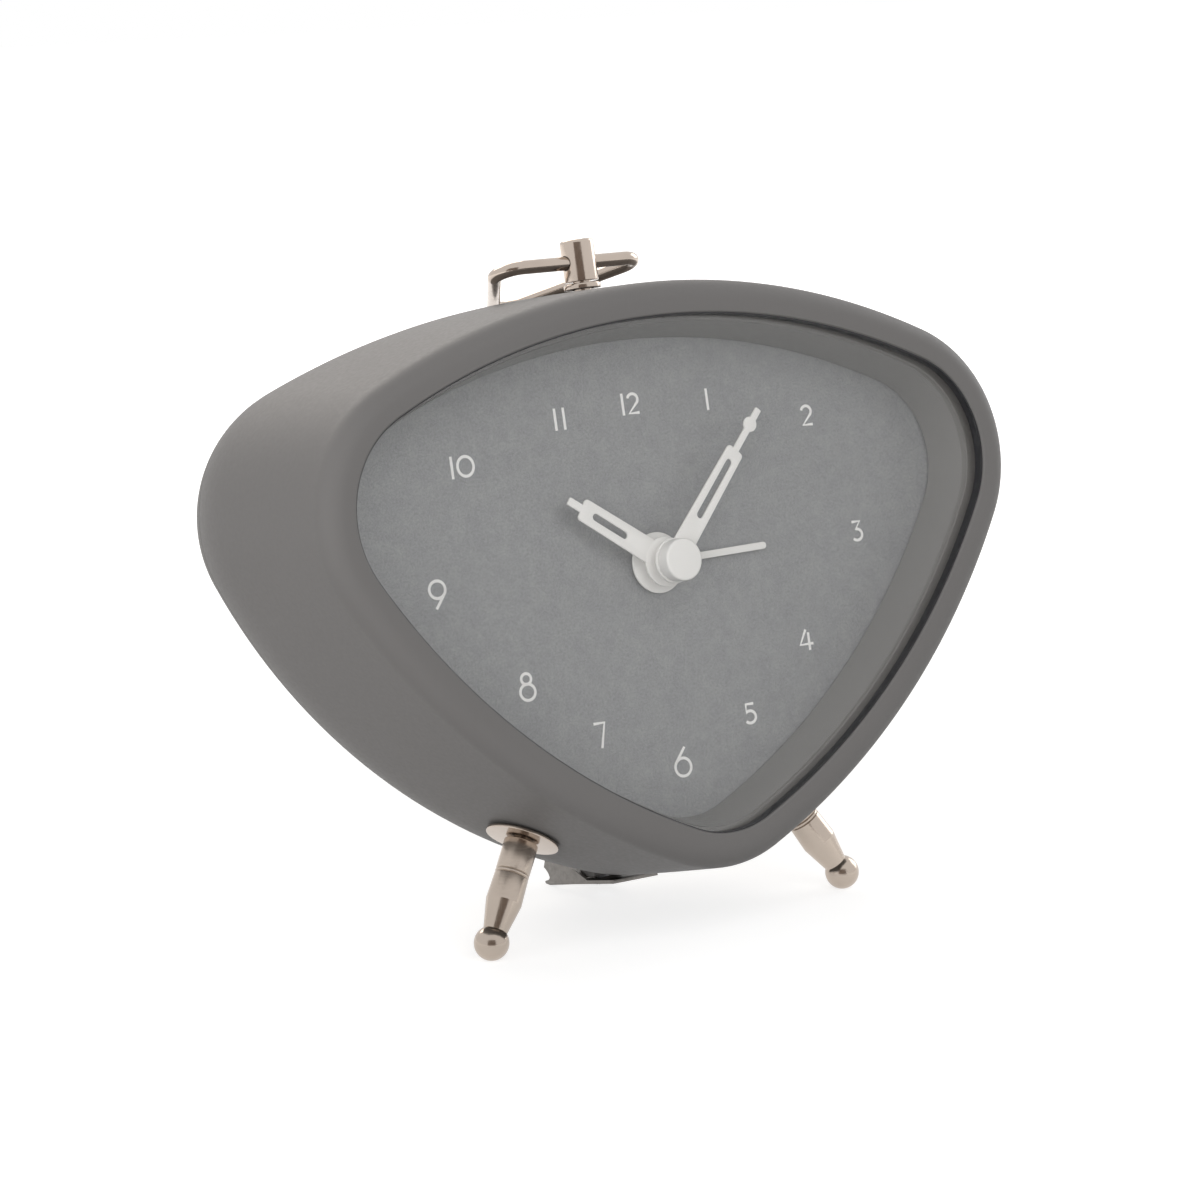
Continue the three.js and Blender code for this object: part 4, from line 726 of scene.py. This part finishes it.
def makeLeg(side):
    s = legShape
    seat, axis = flankSeat(s["seatX"], s["seatY"])
    if side == "left":
        seat.x, axis.x = -seat.x, -axis.x
    worldAxis = (toWorld.to_3x3() @ axis).normalized()
    shine = metalFinish("turnedNickel" + side.title(), s["color"], s["roughness"], (1, 1, 14),
                        legTurn(worldAxis), 420, 0.2)  # fine rings round the leg
    top = s["washer"] + 2 * s["gap"]
    neckAt = top + s["body"] + s["taper"]
    ballAt = neckAt + math.sqrt(s["ball"] ** 2 - s["neck"] ** 2)
    groove = top + s["grooveAt"]
    r, stud, depth = s["radius"], s["stud"], s["studDepth"]
    bed, edge = r - s["grooveDepth"], r - 0.02
    grooves = [(edge, groove - 0.12, 0.1), (bed, groove, 0.08), (edge, groove + 0.12, 0.1),
               (edge, groove + 0.42, 0.1), (bed, groove + 0.54, 0.08), (edge, groove + 0.66, 0.1)]
    upper = rounded([(0, -depth), (stud, -depth), (stud, top), (r, top, 0.25), *grooves,
                     (r + 0.13, top + s["body"], 0.3), (s["neck"], neckAt)], 4)
    start = math.asin(s["neck"] / s["ball"])
    ball = [(s["ball"] * math.sin(t), ballAt - s["ball"] * math.cos(t))
            for t in (start + (math.pi - start) * k / 24 for k in range(1, 25))]
    profile = upper + ball[:-1] + [(0, ballAt + s["ball"])]
    leg = turned("leg" + side.title(), profile, seat, axis, shine, 80)
    for vertex in leg.data.vertices:  # the flat that the foot stands on
        vertex.co.z = max(vertex.co.z, 0)
    place(leg, "clock", "satin_nickel", "leg_" + side)
    inside, outside = s["gap"], s["gap"] + s["washer"]
    washer = rounded([(s["bore"], inside), (s["washerRadius"], inside, 0.15),
                      (s["washerRadius"], outside, 0.15), (s["bore"], outside)], 4, closed=True)
    disc = turned("legWasher" + side.title(), washer, seat, axis, finish["nickel"], 96, closed=True)
    place(disc, "clock", "bright_nickel", "leg_washer_" + side)


for legSide in ("left", "right"):
    makeLeg(legSide)

postShape = {"y": 8.9, "radius": 2.7, "height": 6.6, "collarRadius": 2.95, "collar": 0.9, "gap": 0.3,
             "barHeight": 3.05, "stud": 1.4, "studDepth": 3, "bore": 1.8}
bailShape = {"wire": 2.2, "side": 29.6, "corner": 3.0, "shift": -1.05,
             "clear": 1.2}  # how far the underside of its plane stays above the crown at rest
postFoot = crownAt(postShape["y"])
pivotZ = postFoot + postShape["collar"] + 2 * postShape["gap"] + postShape["barHeight"]  # the bar's axis


def makePost():
    p, seat = postShape, (0, postShape["y"], postFoot)
    foot = p["collar"] + 2 * p["gap"]
    stud, depth, top = p["stud"], p["studDepth"], foot + p["height"]
    profile = rounded([(0, -depth), (stud, -depth), (stud, foot), (p["radius"], foot, 0.1),
                       (p["radius"], top, 0.55), (0, top)], 5)
    post = turned("bailPost", profile, seat, (0, 0, 1), finish["nickel"], 96)
    hole = bailShape["wire"] / 2 + 0.1
    cutter = turned("postHole", [(0, -6), (hole, -6), (hole, 6), (0, 6)], (0, p["y"], pivotZ), (1, 0, 0),
                    finish["nickel"], 48)
    place(cutWith(post, cutter, finish["nickel"]), "clock", "bright_nickel", "bail_post")
    low, high = p["gap"], p["gap"] + p["collar"]
    ring = rounded([(p["bore"], low), (p["collarRadius"], low, 0.12), (p["collarRadius"], high, 0.3),
                    (p["bore"], high)], 4, closed=True)
    collar = turned("postCollar", ring, seat, (0, 0, 1), finish["nickel"], 96, closed=True)
    place(collar, "clock", "bright_nickel", "post_collar")


def bailRest():
    c, b = caseShape, bailShape
    reach = b["side"] * math.cos(math.pi / 6) - b["corner"]
    clear = b["wire"] / 2 + b["clear"]
    start = c["rimFront"] + c["rimRound"]
    depths = [start + (c["back"] - start) * k / 25 for k in range(26)]
    crown = [(y, crownAt(y)) for y in depths]
    lowest = math.pi / 2
    for y, z in crown:
        away = y - postShape["y"]
        if postShape["radius"] < away < reach + clear:
            down = math.atan2(pivotZ - z, away) - math.asin(clear / math.hypot(away, pivotZ - z))
            lowest = min(lowest, down)
    return lowest


def makeBail():
    b = bailShape
    rings = []
    rest = -bailRest()
    toBar = b["side"] / math.sqrt(12)
    out = b["side"] / math.sqrt(3) - 2 * b["corner"]
    for n, angle in enumerate((90, 210, 330)):
        centre = Vector((math.cos(math.radians(angle)), math.sin(math.radians(angle)))) * out
        for k in range(21):
            turn = math.radians(30 + 120 * n + 120 * k / 20)
            away = Vector((math.cos(turn), math.sin(turn)))
            middle = centre + away * b["corner"]
            ring = []
            for s in range(24):
                roll = 2 * math.pi * s / 24
                point = middle + away * (b["wire"] / 2 * math.cos(roll))
                x, y, z = point.x + b["shift"], point.y + toBar, b["wire"] / 2 * math.sin(roll)
                ring.append((x, postShape["y"] + y * math.cos(rest) - z * math.sin(rest),
                             pivotZ + y * math.sin(rest) + z * math.cos(rest)))
            rings.append(ring)
    place(skinned("bailRing", rings, finish["nickel"]), "bail_ring", "bright_nickel", "bail")


makePost()
makeBail()
print("legs, post and bail made")


# Back cover with its openings, and what is on it

minutePlace = (8.1915, -5.7358)  # the setting stems
alarmPlace = (-8.6011, -6.0226)
wellShape = {"halfX": 27.65, "halfZ": 8.1, "z": 16.5, "front": 17.8, "back": 34.1, "wall": 1.2}
coverShape = {"wall": 2.0, "spigot": 1.5, "spigotGap": 0.3, "spigotFront": 20.8,
              "cutFrom": 30, "cutTo": 40, "stemHole": 2.1, "screwHole": 1.8,
              "screws": [(48.25, 14), (-48.25, 14), (0, -29.6)],
              "switch": (34.5, 10, 4), "switchHole": 1.8,  # its place and its travel
              "buzzer": (0, -18.5), "soundHole": 0.9, "soundCircle": 3.6,
              "padHalf": 2.9, "padFront": 24.5, "padBack": 28.4}


def instanceTree(name, material):
    tree = bpy.data.node_groups.new(name, "GeometryNodeTree")
    for socketName, kind in (("Piece", "Object"), ("Count", "Int"), ("Radius", "Float")):
        tree.interface.new_socket(socketName, in_out="INPUT", socket_type="NodeSocket" + kind)
    tree.interface.new_socket("Made", in_out="OUTPUT", socket_type="NodeSocketGeometry")
    nodes, links = tree.nodes, tree.links
    start, end = nodes.new("NodeGroupInput"), nodes.new("NodeGroupOutput")
    circle = nodes.new("GeometryNodeMeshCircle")
    info = nodes.new("GeometryNodeObjectInfo")
    onPoints = nodes.new("GeometryNodeInstanceOnPoints")
    index = nodes.new("GeometryNodeInputIndex")
    angle = nodes.new("ShaderNodeMath")
    angle.operation = "DIVIDE"
    full = nodes.new("ShaderNodeMath")
    full.operation = "MULTIPLY"
    full.inputs[1].default_value = 2 * math.pi
    turnVector = nodes.new("ShaderNodeCombineXYZ")
    realize = nodes.new("GeometryNodeRealizeInstances")
    paint = nodes.new("GeometryNodeSetMaterial")
    paint.inputs["Material"].default_value = material
    links.new(start.outputs["Count"], circle.inputs["Vertices"])
    links.new(start.outputs["Radius"], circle.inputs["Radius"])
    links.new(start.outputs["Piece"], info.inputs["Object"])
    links.new(circle.outputs[0], onPoints.inputs["Points"])
    links.new(info.outputs["Geometry"], onPoints.inputs["Instance"])
    links.new(index.outputs[0], full.inputs[0])
    links.new(full.outputs[0], angle.inputs[0])
    links.new(start.outputs["Count"], angle.inputs[1])
    links.new(angle.outputs[0], turnVector.inputs["Z"])
    links.new(turnVector.outputs[0], onPoints.inputs["Rotation"])
    links.new(onPoints.outputs[0], realize.inputs[0])
    links.new(realize.outputs[0], paint.inputs["Geometry"])
    links.new(paint.outputs[0], end.inputs[0])
    return tree


def ringOf(name, piece, count, radius, middle, material, y):
    tree = instanceTree(name + "Ring", material)
    holder = addObject(name, bpy.data.meshes.new(name))
    modifier = holder.modifiers.new("ring", "NODES")
    modifier.node_group = tree
    sockets = (item for item in tree.interface.items_tree if item.in_out == "INPUT")
    identifiers = {item.name: item.identifier for item in sockets}
    modifier[identifiers["Piece"]] = piece
    modifier[identifiers["Count"]] = count
    modifier[identifiers["Radius"]] = radius
    mesh = bakedMesh(holder)
    bpy.data.objects.remove(piece)
    stand = Matrix.Rotation(math.radians(-90), 4, "X")
    mesh.transform(toWorld @ Matrix.Translation((middle[0], y, middle[1])) @ stand)
    return finishMesh(name, mesh, material)


def localPiece(name, points, faces, material):
    mesh = bpy.data.meshes.new(name)
    mesh.from_pydata(points, [], faces)
    mesh.materials.append(material)
    return addObject(name, mesh)


def backRings(fromY, depth, steps):
    c = caseShape
    reach, turnFrom = c["backCurve"] - depth, c["back"] - c["backCurve"]
    low = math.asin((fromY - turnFrom) / reach)
    for k in range(steps + 1):
        y = turnFrom + reach * math.sin(low + (math.pi / 2 - low) * k / steps)
        yield tuckAt(y, depth), y, 1


def makeCoverShell(plastic):
    c, cover = caseShape, coverShape
    start, seam = c["joint"] + c["seam"], c["seam"]
    spigot, front = c["wall"] + cover["spigotGap"], cover["spigotFront"]
    outer = [(tuckAt(start) + seam, start, 1), *backRings(start + seam, 0, 24)]
    inner = list(backRings(start, cover["wall"], 10))[::-1]
    middle = [wall(spigot + cover["spigot"], front), wall(spigot, front), (spigot + tuckAt(start), start, 1)]
    return skinned("coverShell", hoopRings(inner + middle + outer), plastic, "caps")


def roundCut(name, radius, where, plastic, segments):
    low, high = coverShape["cutFrom"], coverShape["cutTo"]
    profile = [(0, low), (radius, low), (radius, high), (0, high)]
    return turned(name, profile, (where[0], 0, where[1]), (0, 1, 0), plastic, segments)


def makeSoundHoles(plastic):
    cover, sides = coverShape, 24
    hole = cover["soundHole"]
    points = [(hole * math.cos(2 * math.pi * k / sides), hole * math.sin(2 * math.pi * k / sides), y)
              for y in (-5, 5) for k in range(sides)]
    faces = [(k, (k + 1) % sides, sides + (k + 1) % sides, sides + k) for k in range(sides)]
    faces += [tuple(range(sides)), tuple(range(sides, 2 * sides))]
    soundHole = localPiece("soundHole", points, faces, plastic)
    ring = ringOf("soundHoles", soundHole, 6, cover["soundCircle"], cover["buzzer"], plastic, 35)
    return [ring, roundCut("cutSound", hole, cover["buzzer"], plastic, sides)]


def makeCoverCutters(plastic):
    cover, w = coverShape, wellShape
    low, high = cover["cutFrom"], cover["cutTo"]
    cutters = [addBox("cutWell", (-w["halfX"], low, w["z"] - w["halfZ"]),
                      (w["halfX"], high, w["z"] + w["halfZ"]), plastic)]
    for n, stemPlace in enumerate((minutePlace, alarmPlace)):
        cutters.append(roundCut(f"cutStem{n}", cover["stemHole"], stemPlace, plastic, 48))
    for n, screwPlace in enumerate(cover["screws"]):
        cutters.append(roundCut(f"cutScrew{n}", cover["screwHole"], screwPlace, plastic, 32))
    x, z, travel = cover["switch"]
    half = cover["switchHole"]
    cutters.append(addBox("cutSwitch", (x - half, low, z - half),
                          (x + half, high, z + half + travel), plastic))
    return joinAll("coverCutters", cutters + makeSoundHoles(plastic), plastic)


def makeStandPad(plastic):
    half, back = coverShape["padHalf"], coverShape["padBack"]
    low = caseShape["bottom"] - caseShape["bottomSwell"]
    return addBox("standPad", (-half, coverShape["padFront"], low), (half, back, low + tuckAt(back) + 1),
                  plastic, 0.25)


def makeBatteryWell(plastic):
    w = wellShape
    x, z, thick = w["halfX"], w["halfZ"], w["wall"]
    block = addBox("batteryWell", (-x - thick, w["front"], w["z"] - z - thick),
                   (x + thick, w["back"], w["z"] + z + thick), plastic)
    pit = addBox("cutPit", (-x, w["front"] + thick, w["z"] - z),
                 (x, coverShape["cutTo"], w["z"] + z), plastic)
    return cutWith(block, pit, plastic)


def makeBackCover():
    plastic = finish["coverPlastic"]
    shell = makeCoverShell(plastic)
    cover = cutWith(shell, makeCoverCutters(plastic), plastic)
    cover.name = "backCover"
    for piece in (cover, makeStandPad(plastic), makeBatteryWell(plastic)):
        place(piece, "clock", "grey_plastic", "back_cover")


doorShape = {"gap": 0.3, "front": 34.4, "back": 35.9, "corner": 1.0, "grips": 3, "gripWidth": 10,
             "gripFrom": 2.2, "gripPitch": 1.5, "gripHeight": 0.7, "gripDepth": 0.5}


def makeDoor():
    d, w = doorShape, wellShape
    halfX, halfZ, r = w["halfX"] - d["gap"], w["halfZ"] - d["gap"], d["corner"]
    outline = []
    for cx, cz, start in ((1, 1, 0), (-1, 1, 90), (-1, -1, 180), (1, -1, 270)):
        outline += arcStroke(cx * (halfX - r), cz * (halfZ - r), r, r, start, start + 90, 6)
    outline = [(x, z + w["z"]) for x, z in outline]
    panel = flatSheet("doorPanel", [outline], d["front"], d["back"], 0.2, finish["coverPlastic"])
    grips = []
    x, half = d["gripWidth"] / 2, d["gripHeight"] / 2
    for n in range(d["grips"]):
        z = w["z"] + halfZ - d["gripFrom"] - d["gripPitch"] * n
        grips.append(addBox(f"cutGrip{n}", (-x, d["back"] - d["gripDepth"], z - half),
                            (x, d["back"] + 1, z + half), finish["coverPlastic"]))
    door = cutWith(panel, joinAll("doorGrips", grips, finish["coverPlastic"]), finish["coverPlastic"])
    door.name = "batteryDoor"
    place(door, "door", "grey_plastic", "battery_door")


knobShape = {"radius": 5.0, "ridges": 28, "ridge": 0.28, "front": 36.7, "length": 4.6,
             "stem": 1.7, "stemFront": 18.5}


def makeKnob(name, body, where, nodeName):
    k = knobShape
    front, back, stem = k["front"], k["front"] + k["length"], k["stem"]
    grip = k["radius"] - 0.25
    profile = rounded([(0, k["stemFront"]), (stem, k["stemFront"]), (stem, front), (grip, front, 0.3),
                       (grip, back - 0.2, 0.5), (k["radius"] - 1.2, back, 0.3), (1.6, back - 0.15, 0.3),
                       (0, back - 0.3)], 4)
    core = turned(name + "Core", profile, (where[0], 0, where[1]), (0, 1, 0), finish["black"], 96)
    half, low, high = k["ridge"], 0.5, k["length"] - 0.7
    points = []
    for z in (low, high):
        points += [(-0.3, -half, z), (-0.3, half, z), (0.25, half * 0.6, z), (0.25, -half * 0.6, z)]
    faces = [(0, 1, 5, 4), (1, 2, 6, 5), (2, 3, 7, 6), (3, 0, 4, 7), (0, 1, 2, 3), (4, 5, 6, 7)]
    ridge = localPiece(name + "Ridge", points, faces, finish["black"])
    ridges = ringOf(name + "Ridges", ridge, k["ridges"], grip, where, finish["black"], front)
    place(joinAll(name, [core, ridges], finish["black"]), body, "black_plastic", nodeName)


# Each block of the alarm switch: half its width, half its height, its front and back, and its edge
switchShape = {"cap": (3, 2.5, 36.3, 37.3, 0.25), "stem": (1.5, 1.5, 33.2, 36.5, 0.1),
               "foot": (3, 2.5, 32.5, 33.7, 0.1), "ribs": 4, "ribPitch": 1.2}


def makeSwitch():
    x, z, _ = coverShape["switch"]
    black, s = finish["black"], switchShape
    blocks = []
    for name in ("cap", "stem", "foot"):
        halfX, halfZ, front, back, edge = s[name]
        blocks.append(addBox("switch" + name.title(), (x - halfX, front, z - halfZ),
                             (x + halfX, back, z + halfZ), black, edge))
    for n in range(s["ribs"]):
        up = z + s["ribPitch"] * n
        blocks.append(addBox(f"switchRib{n}", (x - 2.4, 37.1, up - 1.9), (x + 2.4, 37.75, up - 1.4),
                             black, 0.12))
    place(joinAll("alarmSwitch", blocks, black), "switch", "black_plastic", "alarm_switch")


screwShape = {"seat": 36.3, "radius": 2.6, "height": 1.5, "shank": 1.3, "length": 10, "slot": 0.66}


def makeScrew(name, x, z, nodeName):
    s = screwShape
    radius, height, shank, length = s["radius"], s["height"], s["shank"], s["length"]
    profile = rounded([(0, -length), (shank * 0.5, -length), (shank, -length + shank), (shank, 0),
                       (radius, 0, 0.1), (radius, height * 0.45, 0.3), (radius * 0.7, height, 0.5),
                       (0, height)], 4)
    seat = (x, s["seat"], z)
    screw = turned(name + "Head", profile, seat, (0, 1, 0), finish["zinc"], 56)
    screw.name = name
    axis, side, other = axisFrame((0, 1, 0))
    half = s["slot"] / 2
    points, faces = boxPoints((-radius - 1, -half, height * 0.5), (radius + 1, half, height + 1))
    points = [Vector(seat) + side * x + other * y + axis * z for x, y, z in points]
    slot = addMesh(name + "Slot", points, faces, finish["zinc"])
    place(cutWith(screw, slot, finish["zinc"]), "clock", "zinc", nodeName)


makeBackCover()
makeDoor()
makeKnob("timeKnob", "motion", minutePlace, "time_knob")
makeKnob("alarmKnob", "alarm_setting", alarmPlace, "alarm_knob")
makeSwitch()
screwNodes = ("cover_screw_right", "cover_screw_left", "cover_screw_bottom")
for screwNode, (screwX, screwZ) in zip(screwNodes, coverShape["screws"]):
    makeScrew(screwNode.replace("_", ""), screwX, screwZ, screwNode)
print("back cover and its fittings made")


standEdge = 0.12  # width of the eased edges


def makeStand():  # the solid's own sheet, with its edges eased
    node = frame["nodes"]["rear_stand"]
    copy = node.copy()
    copy.data = node.data.copy()
    copy.modifiers.clear()
    bpy.context.scene.collection.objects.link(copy)
    bm = bmesh.new()
    bm.from_mesh(copy.data)
    bmesh.ops.remove_doubles(bm, verts=bm.verts, dist=2e-6)
    bmesh.ops.dissolve_limit(bm, angle_limit=math.radians(4), verts=bm.verts, edges=bm.edges)
    bm.to_mesh(copy.data)
    bm.free()
    softenEdges(copy, standEdge, 40)
    sheet = finishMesh("RearStandSoft", bakedMesh(copy), finish["standSteel"])
    place(sheet, "clock", "satin_nickel", "rear_stand")


makeStand()
print("stand made")


# Stage, lamps and camera

stageShape = {"floor": 1.6, "fade": (0.12, 0.5), "nearGlow": 0.7, "farGlow": 1.0,
              "floorColor": (0.52, 0.52, 0.52), "cardColor": (0.3, 0.25, 0.22), "cardTurn": -0.57,
              "cardHalfWidth": 0.42, "cardHalfHeight": 0.34, "cardPlace": (-0.46, -0.72, 0.24),
              "lampAim": (0, 0, 0.055), "roomColor": (1, 0.99, 0.97), "roomStrength": 0.35}
# Where each lamp hangs, its size, its power, its colour and whether metal and gloss show it
lamps = {
    "keyLamp": ((-0.75, -0.75, 0.2), (0.6, 0.6), 3.4, (1, 1, 1), False),
    "frontLamp": ((-0.12, -0.8, 0.7), (0.7, 0.7), 2.7, (1, 1, 1), False),
    "leftLamp": ((-0.95, -0.15, 0.3), (0.6, 0.6), 2.5, (1, 1, 1), False),
    "backLamp": ((0.1, 0.8, 0.7), (0.9, 0.5), 4.4, (1.0, 0.93, 0.86), True),
    "rightLamp": ((0.95, 0.1, 0.4), (0.6, 0.6), 2.4, (1, 1, 1), True),
}
cameraShape = {"lens": 120, "sensor": 36, "clip": (0.02, 20),
               "place": (-354.038, -511.709, 4.328),  # on the dial's axes, as its turns are
               "turn": 0.590783, "dip": 0.0142202, "roll": -0.138231}


def makeStage():
    mesh = bpy.data.meshes.new("floor")
    size = stageShape["floor"]
    corners = [(-size, -size, 0), (size, -size, 0), (size, size, 0), (-size, size, 0)]
    mesh.from_pydata(corners, [], [(0, 1, 2, 3)])
    floor = addObject("floor", mesh)
    material, nodes, links, shader = newMaterial("floorWhite", stageShape["floorColor"], 0.9)
    shader.inputs["Specular IOR Level"].default_value = 0.0
    coords = nodes.new("ShaderNodeTexCoord")
    away = nodes.new("ShaderNodeVectorMath")
    away.operation = "LENGTH"
    links.new(coords.outputs["Object"], away.inputs[0])
    s = stageShape
    # The far floor is as white as the room behind it
    fade = spread(nodes, links, away.outputs["Value"], s["nearGlow"], s["farGlow"], s["fade"])
    glow = nodes.new("ShaderNodeMath")
    glow.operation = "MULTIPLY"
    links.new(anyRay(nodes, links, "Camera", "Glossy", "Transmission"), glow.inputs[0])
    links.new(fade, glow.inputs[1])
    shader.inputs["Emission Color"].default_value = (1, 1, 1, 1)
    links.new(glow.outputs[0], shader.inputs["Emission Strength"])
    mesh.materials.append(material)


def makeDarkCard():  # shows in reflections alone, as a dark stripe in the polished metal
    mesh = bpy.data.meshes.new("darkCard")
    x, z = stageShape["cardHalfWidth"], stageShape["cardHalfHeight"]
    mesh.from_pydata([(-x, 0, -z), (x, 0, -z), (x, 0, z), (-x, 0, z)], [], [(0, 1, 2, 3)])
    mesh.transform(Matrix.Translation(stageShape["cardPlace"])
                   @ Matrix.Rotation(stageShape["cardTurn"], 4, "Z"))
    card = addObject("darkCard", mesh)
    mesh.materials.append(newMaterial("cardBrown", stageShape["cardColor"], 0.9)[0])
    card.visible_camera = card.visible_diffuse = card.visible_transmission = False
    card.visible_shadow = card.visible_volume_scatter = False


def makeWorld():
    world = bpy.data.worlds.new("paleRoom")
    world.use_nodes = True
    bpy.context.scene.world = world
    nodes, links = world.node_tree.nodes, world.node_tree.links
    nodes.clear()
    output = nodes.new("ShaderNodeOutputWorld")
    lit = nodes.new("ShaderNodeBackground")
    lit.inputs["Color"].default_value = (*stageShape["roomColor"], 1)
    lit.inputs["Strength"].default_value = stageShape["roomStrength"]
    shown = nodes.new("ShaderNodeBackground")
    shown.inputs["Color"].default_value = (1, 1, 1, 1)
    shown.inputs["Strength"].default_value = 1.0
    mix = nodes.new("ShaderNodeMixShader")
    links.new(anyRay(nodes, links, "Camera", "Glossy", "Transmission"), mix.inputs[0])
    links.new(lit.outputs[0], mix.inputs[1])
    links.new(shown.outputs[0], mix.inputs[2])
    links.new(mix.outputs[0], output.inputs[0])


def addLamp(name, where, size, power, color, shown):
    lamp = bpy.data.lights.new(name, "AREA")
    lamp.shape = "RECTANGLE"
    lamp.size, lamp.size_y = size
    lamp.energy = power
    lamp.color = color
    obj = addObject(name, lamp)
    obj.location = where
    aim = Vector(stageShape["lampAim"]) - Vector(where)
    obj.rotation_euler = aim.to_track_quat("-Z", "Y").to_euler()
    obj.visible_glossy = shown


def makeCamera():
    data = bpy.data.cameras.new("camera")
    data.lens, data.sensor_width = cameraShape["lens"], cameraShape["sensor"]
    data.clip_start, data.clip_end = cameraShape["clip"]
    camera = addObject("camera", data)
    a, e, r = cameraShape["turn"], cameraShape["dip"], cameraShape["roll"]
    ahead = Vector((math.sin(a) * math.cos(e), math.cos(a) * math.cos(e), -math.sin(e)))
    right = Vector((math.cos(a), -math.sin(a), 0))
    up = right.cross(ahead)
    turnedRight = right * math.cos(r) + up * math.sin(r)
    turnedUp = up * math.cos(r) - right * math.sin(r)
    turn = toWorld.to_3x3().normalized()
    axes = [turn @ turnedRight, turn @ turnedUp, turn @ -ahead]
    placed = Matrix([[axis[row] for axis in axes] for row in range(3)]).to_4x4()
    placed.translation = toWorld @ Vector(cameraShape["place"])
    camera.matrix_world = placed
    bpy.context.scene.camera = camera


makeStage()
makeDarkCard()
makeWorld()
for lampName, lampValues in lamps.items():
    addLamp(lampName, *lampValues)
makeCamera()
bpy.context.scene.view_settings.view_transform = "Standard"
print("stage, lamps and camera set")
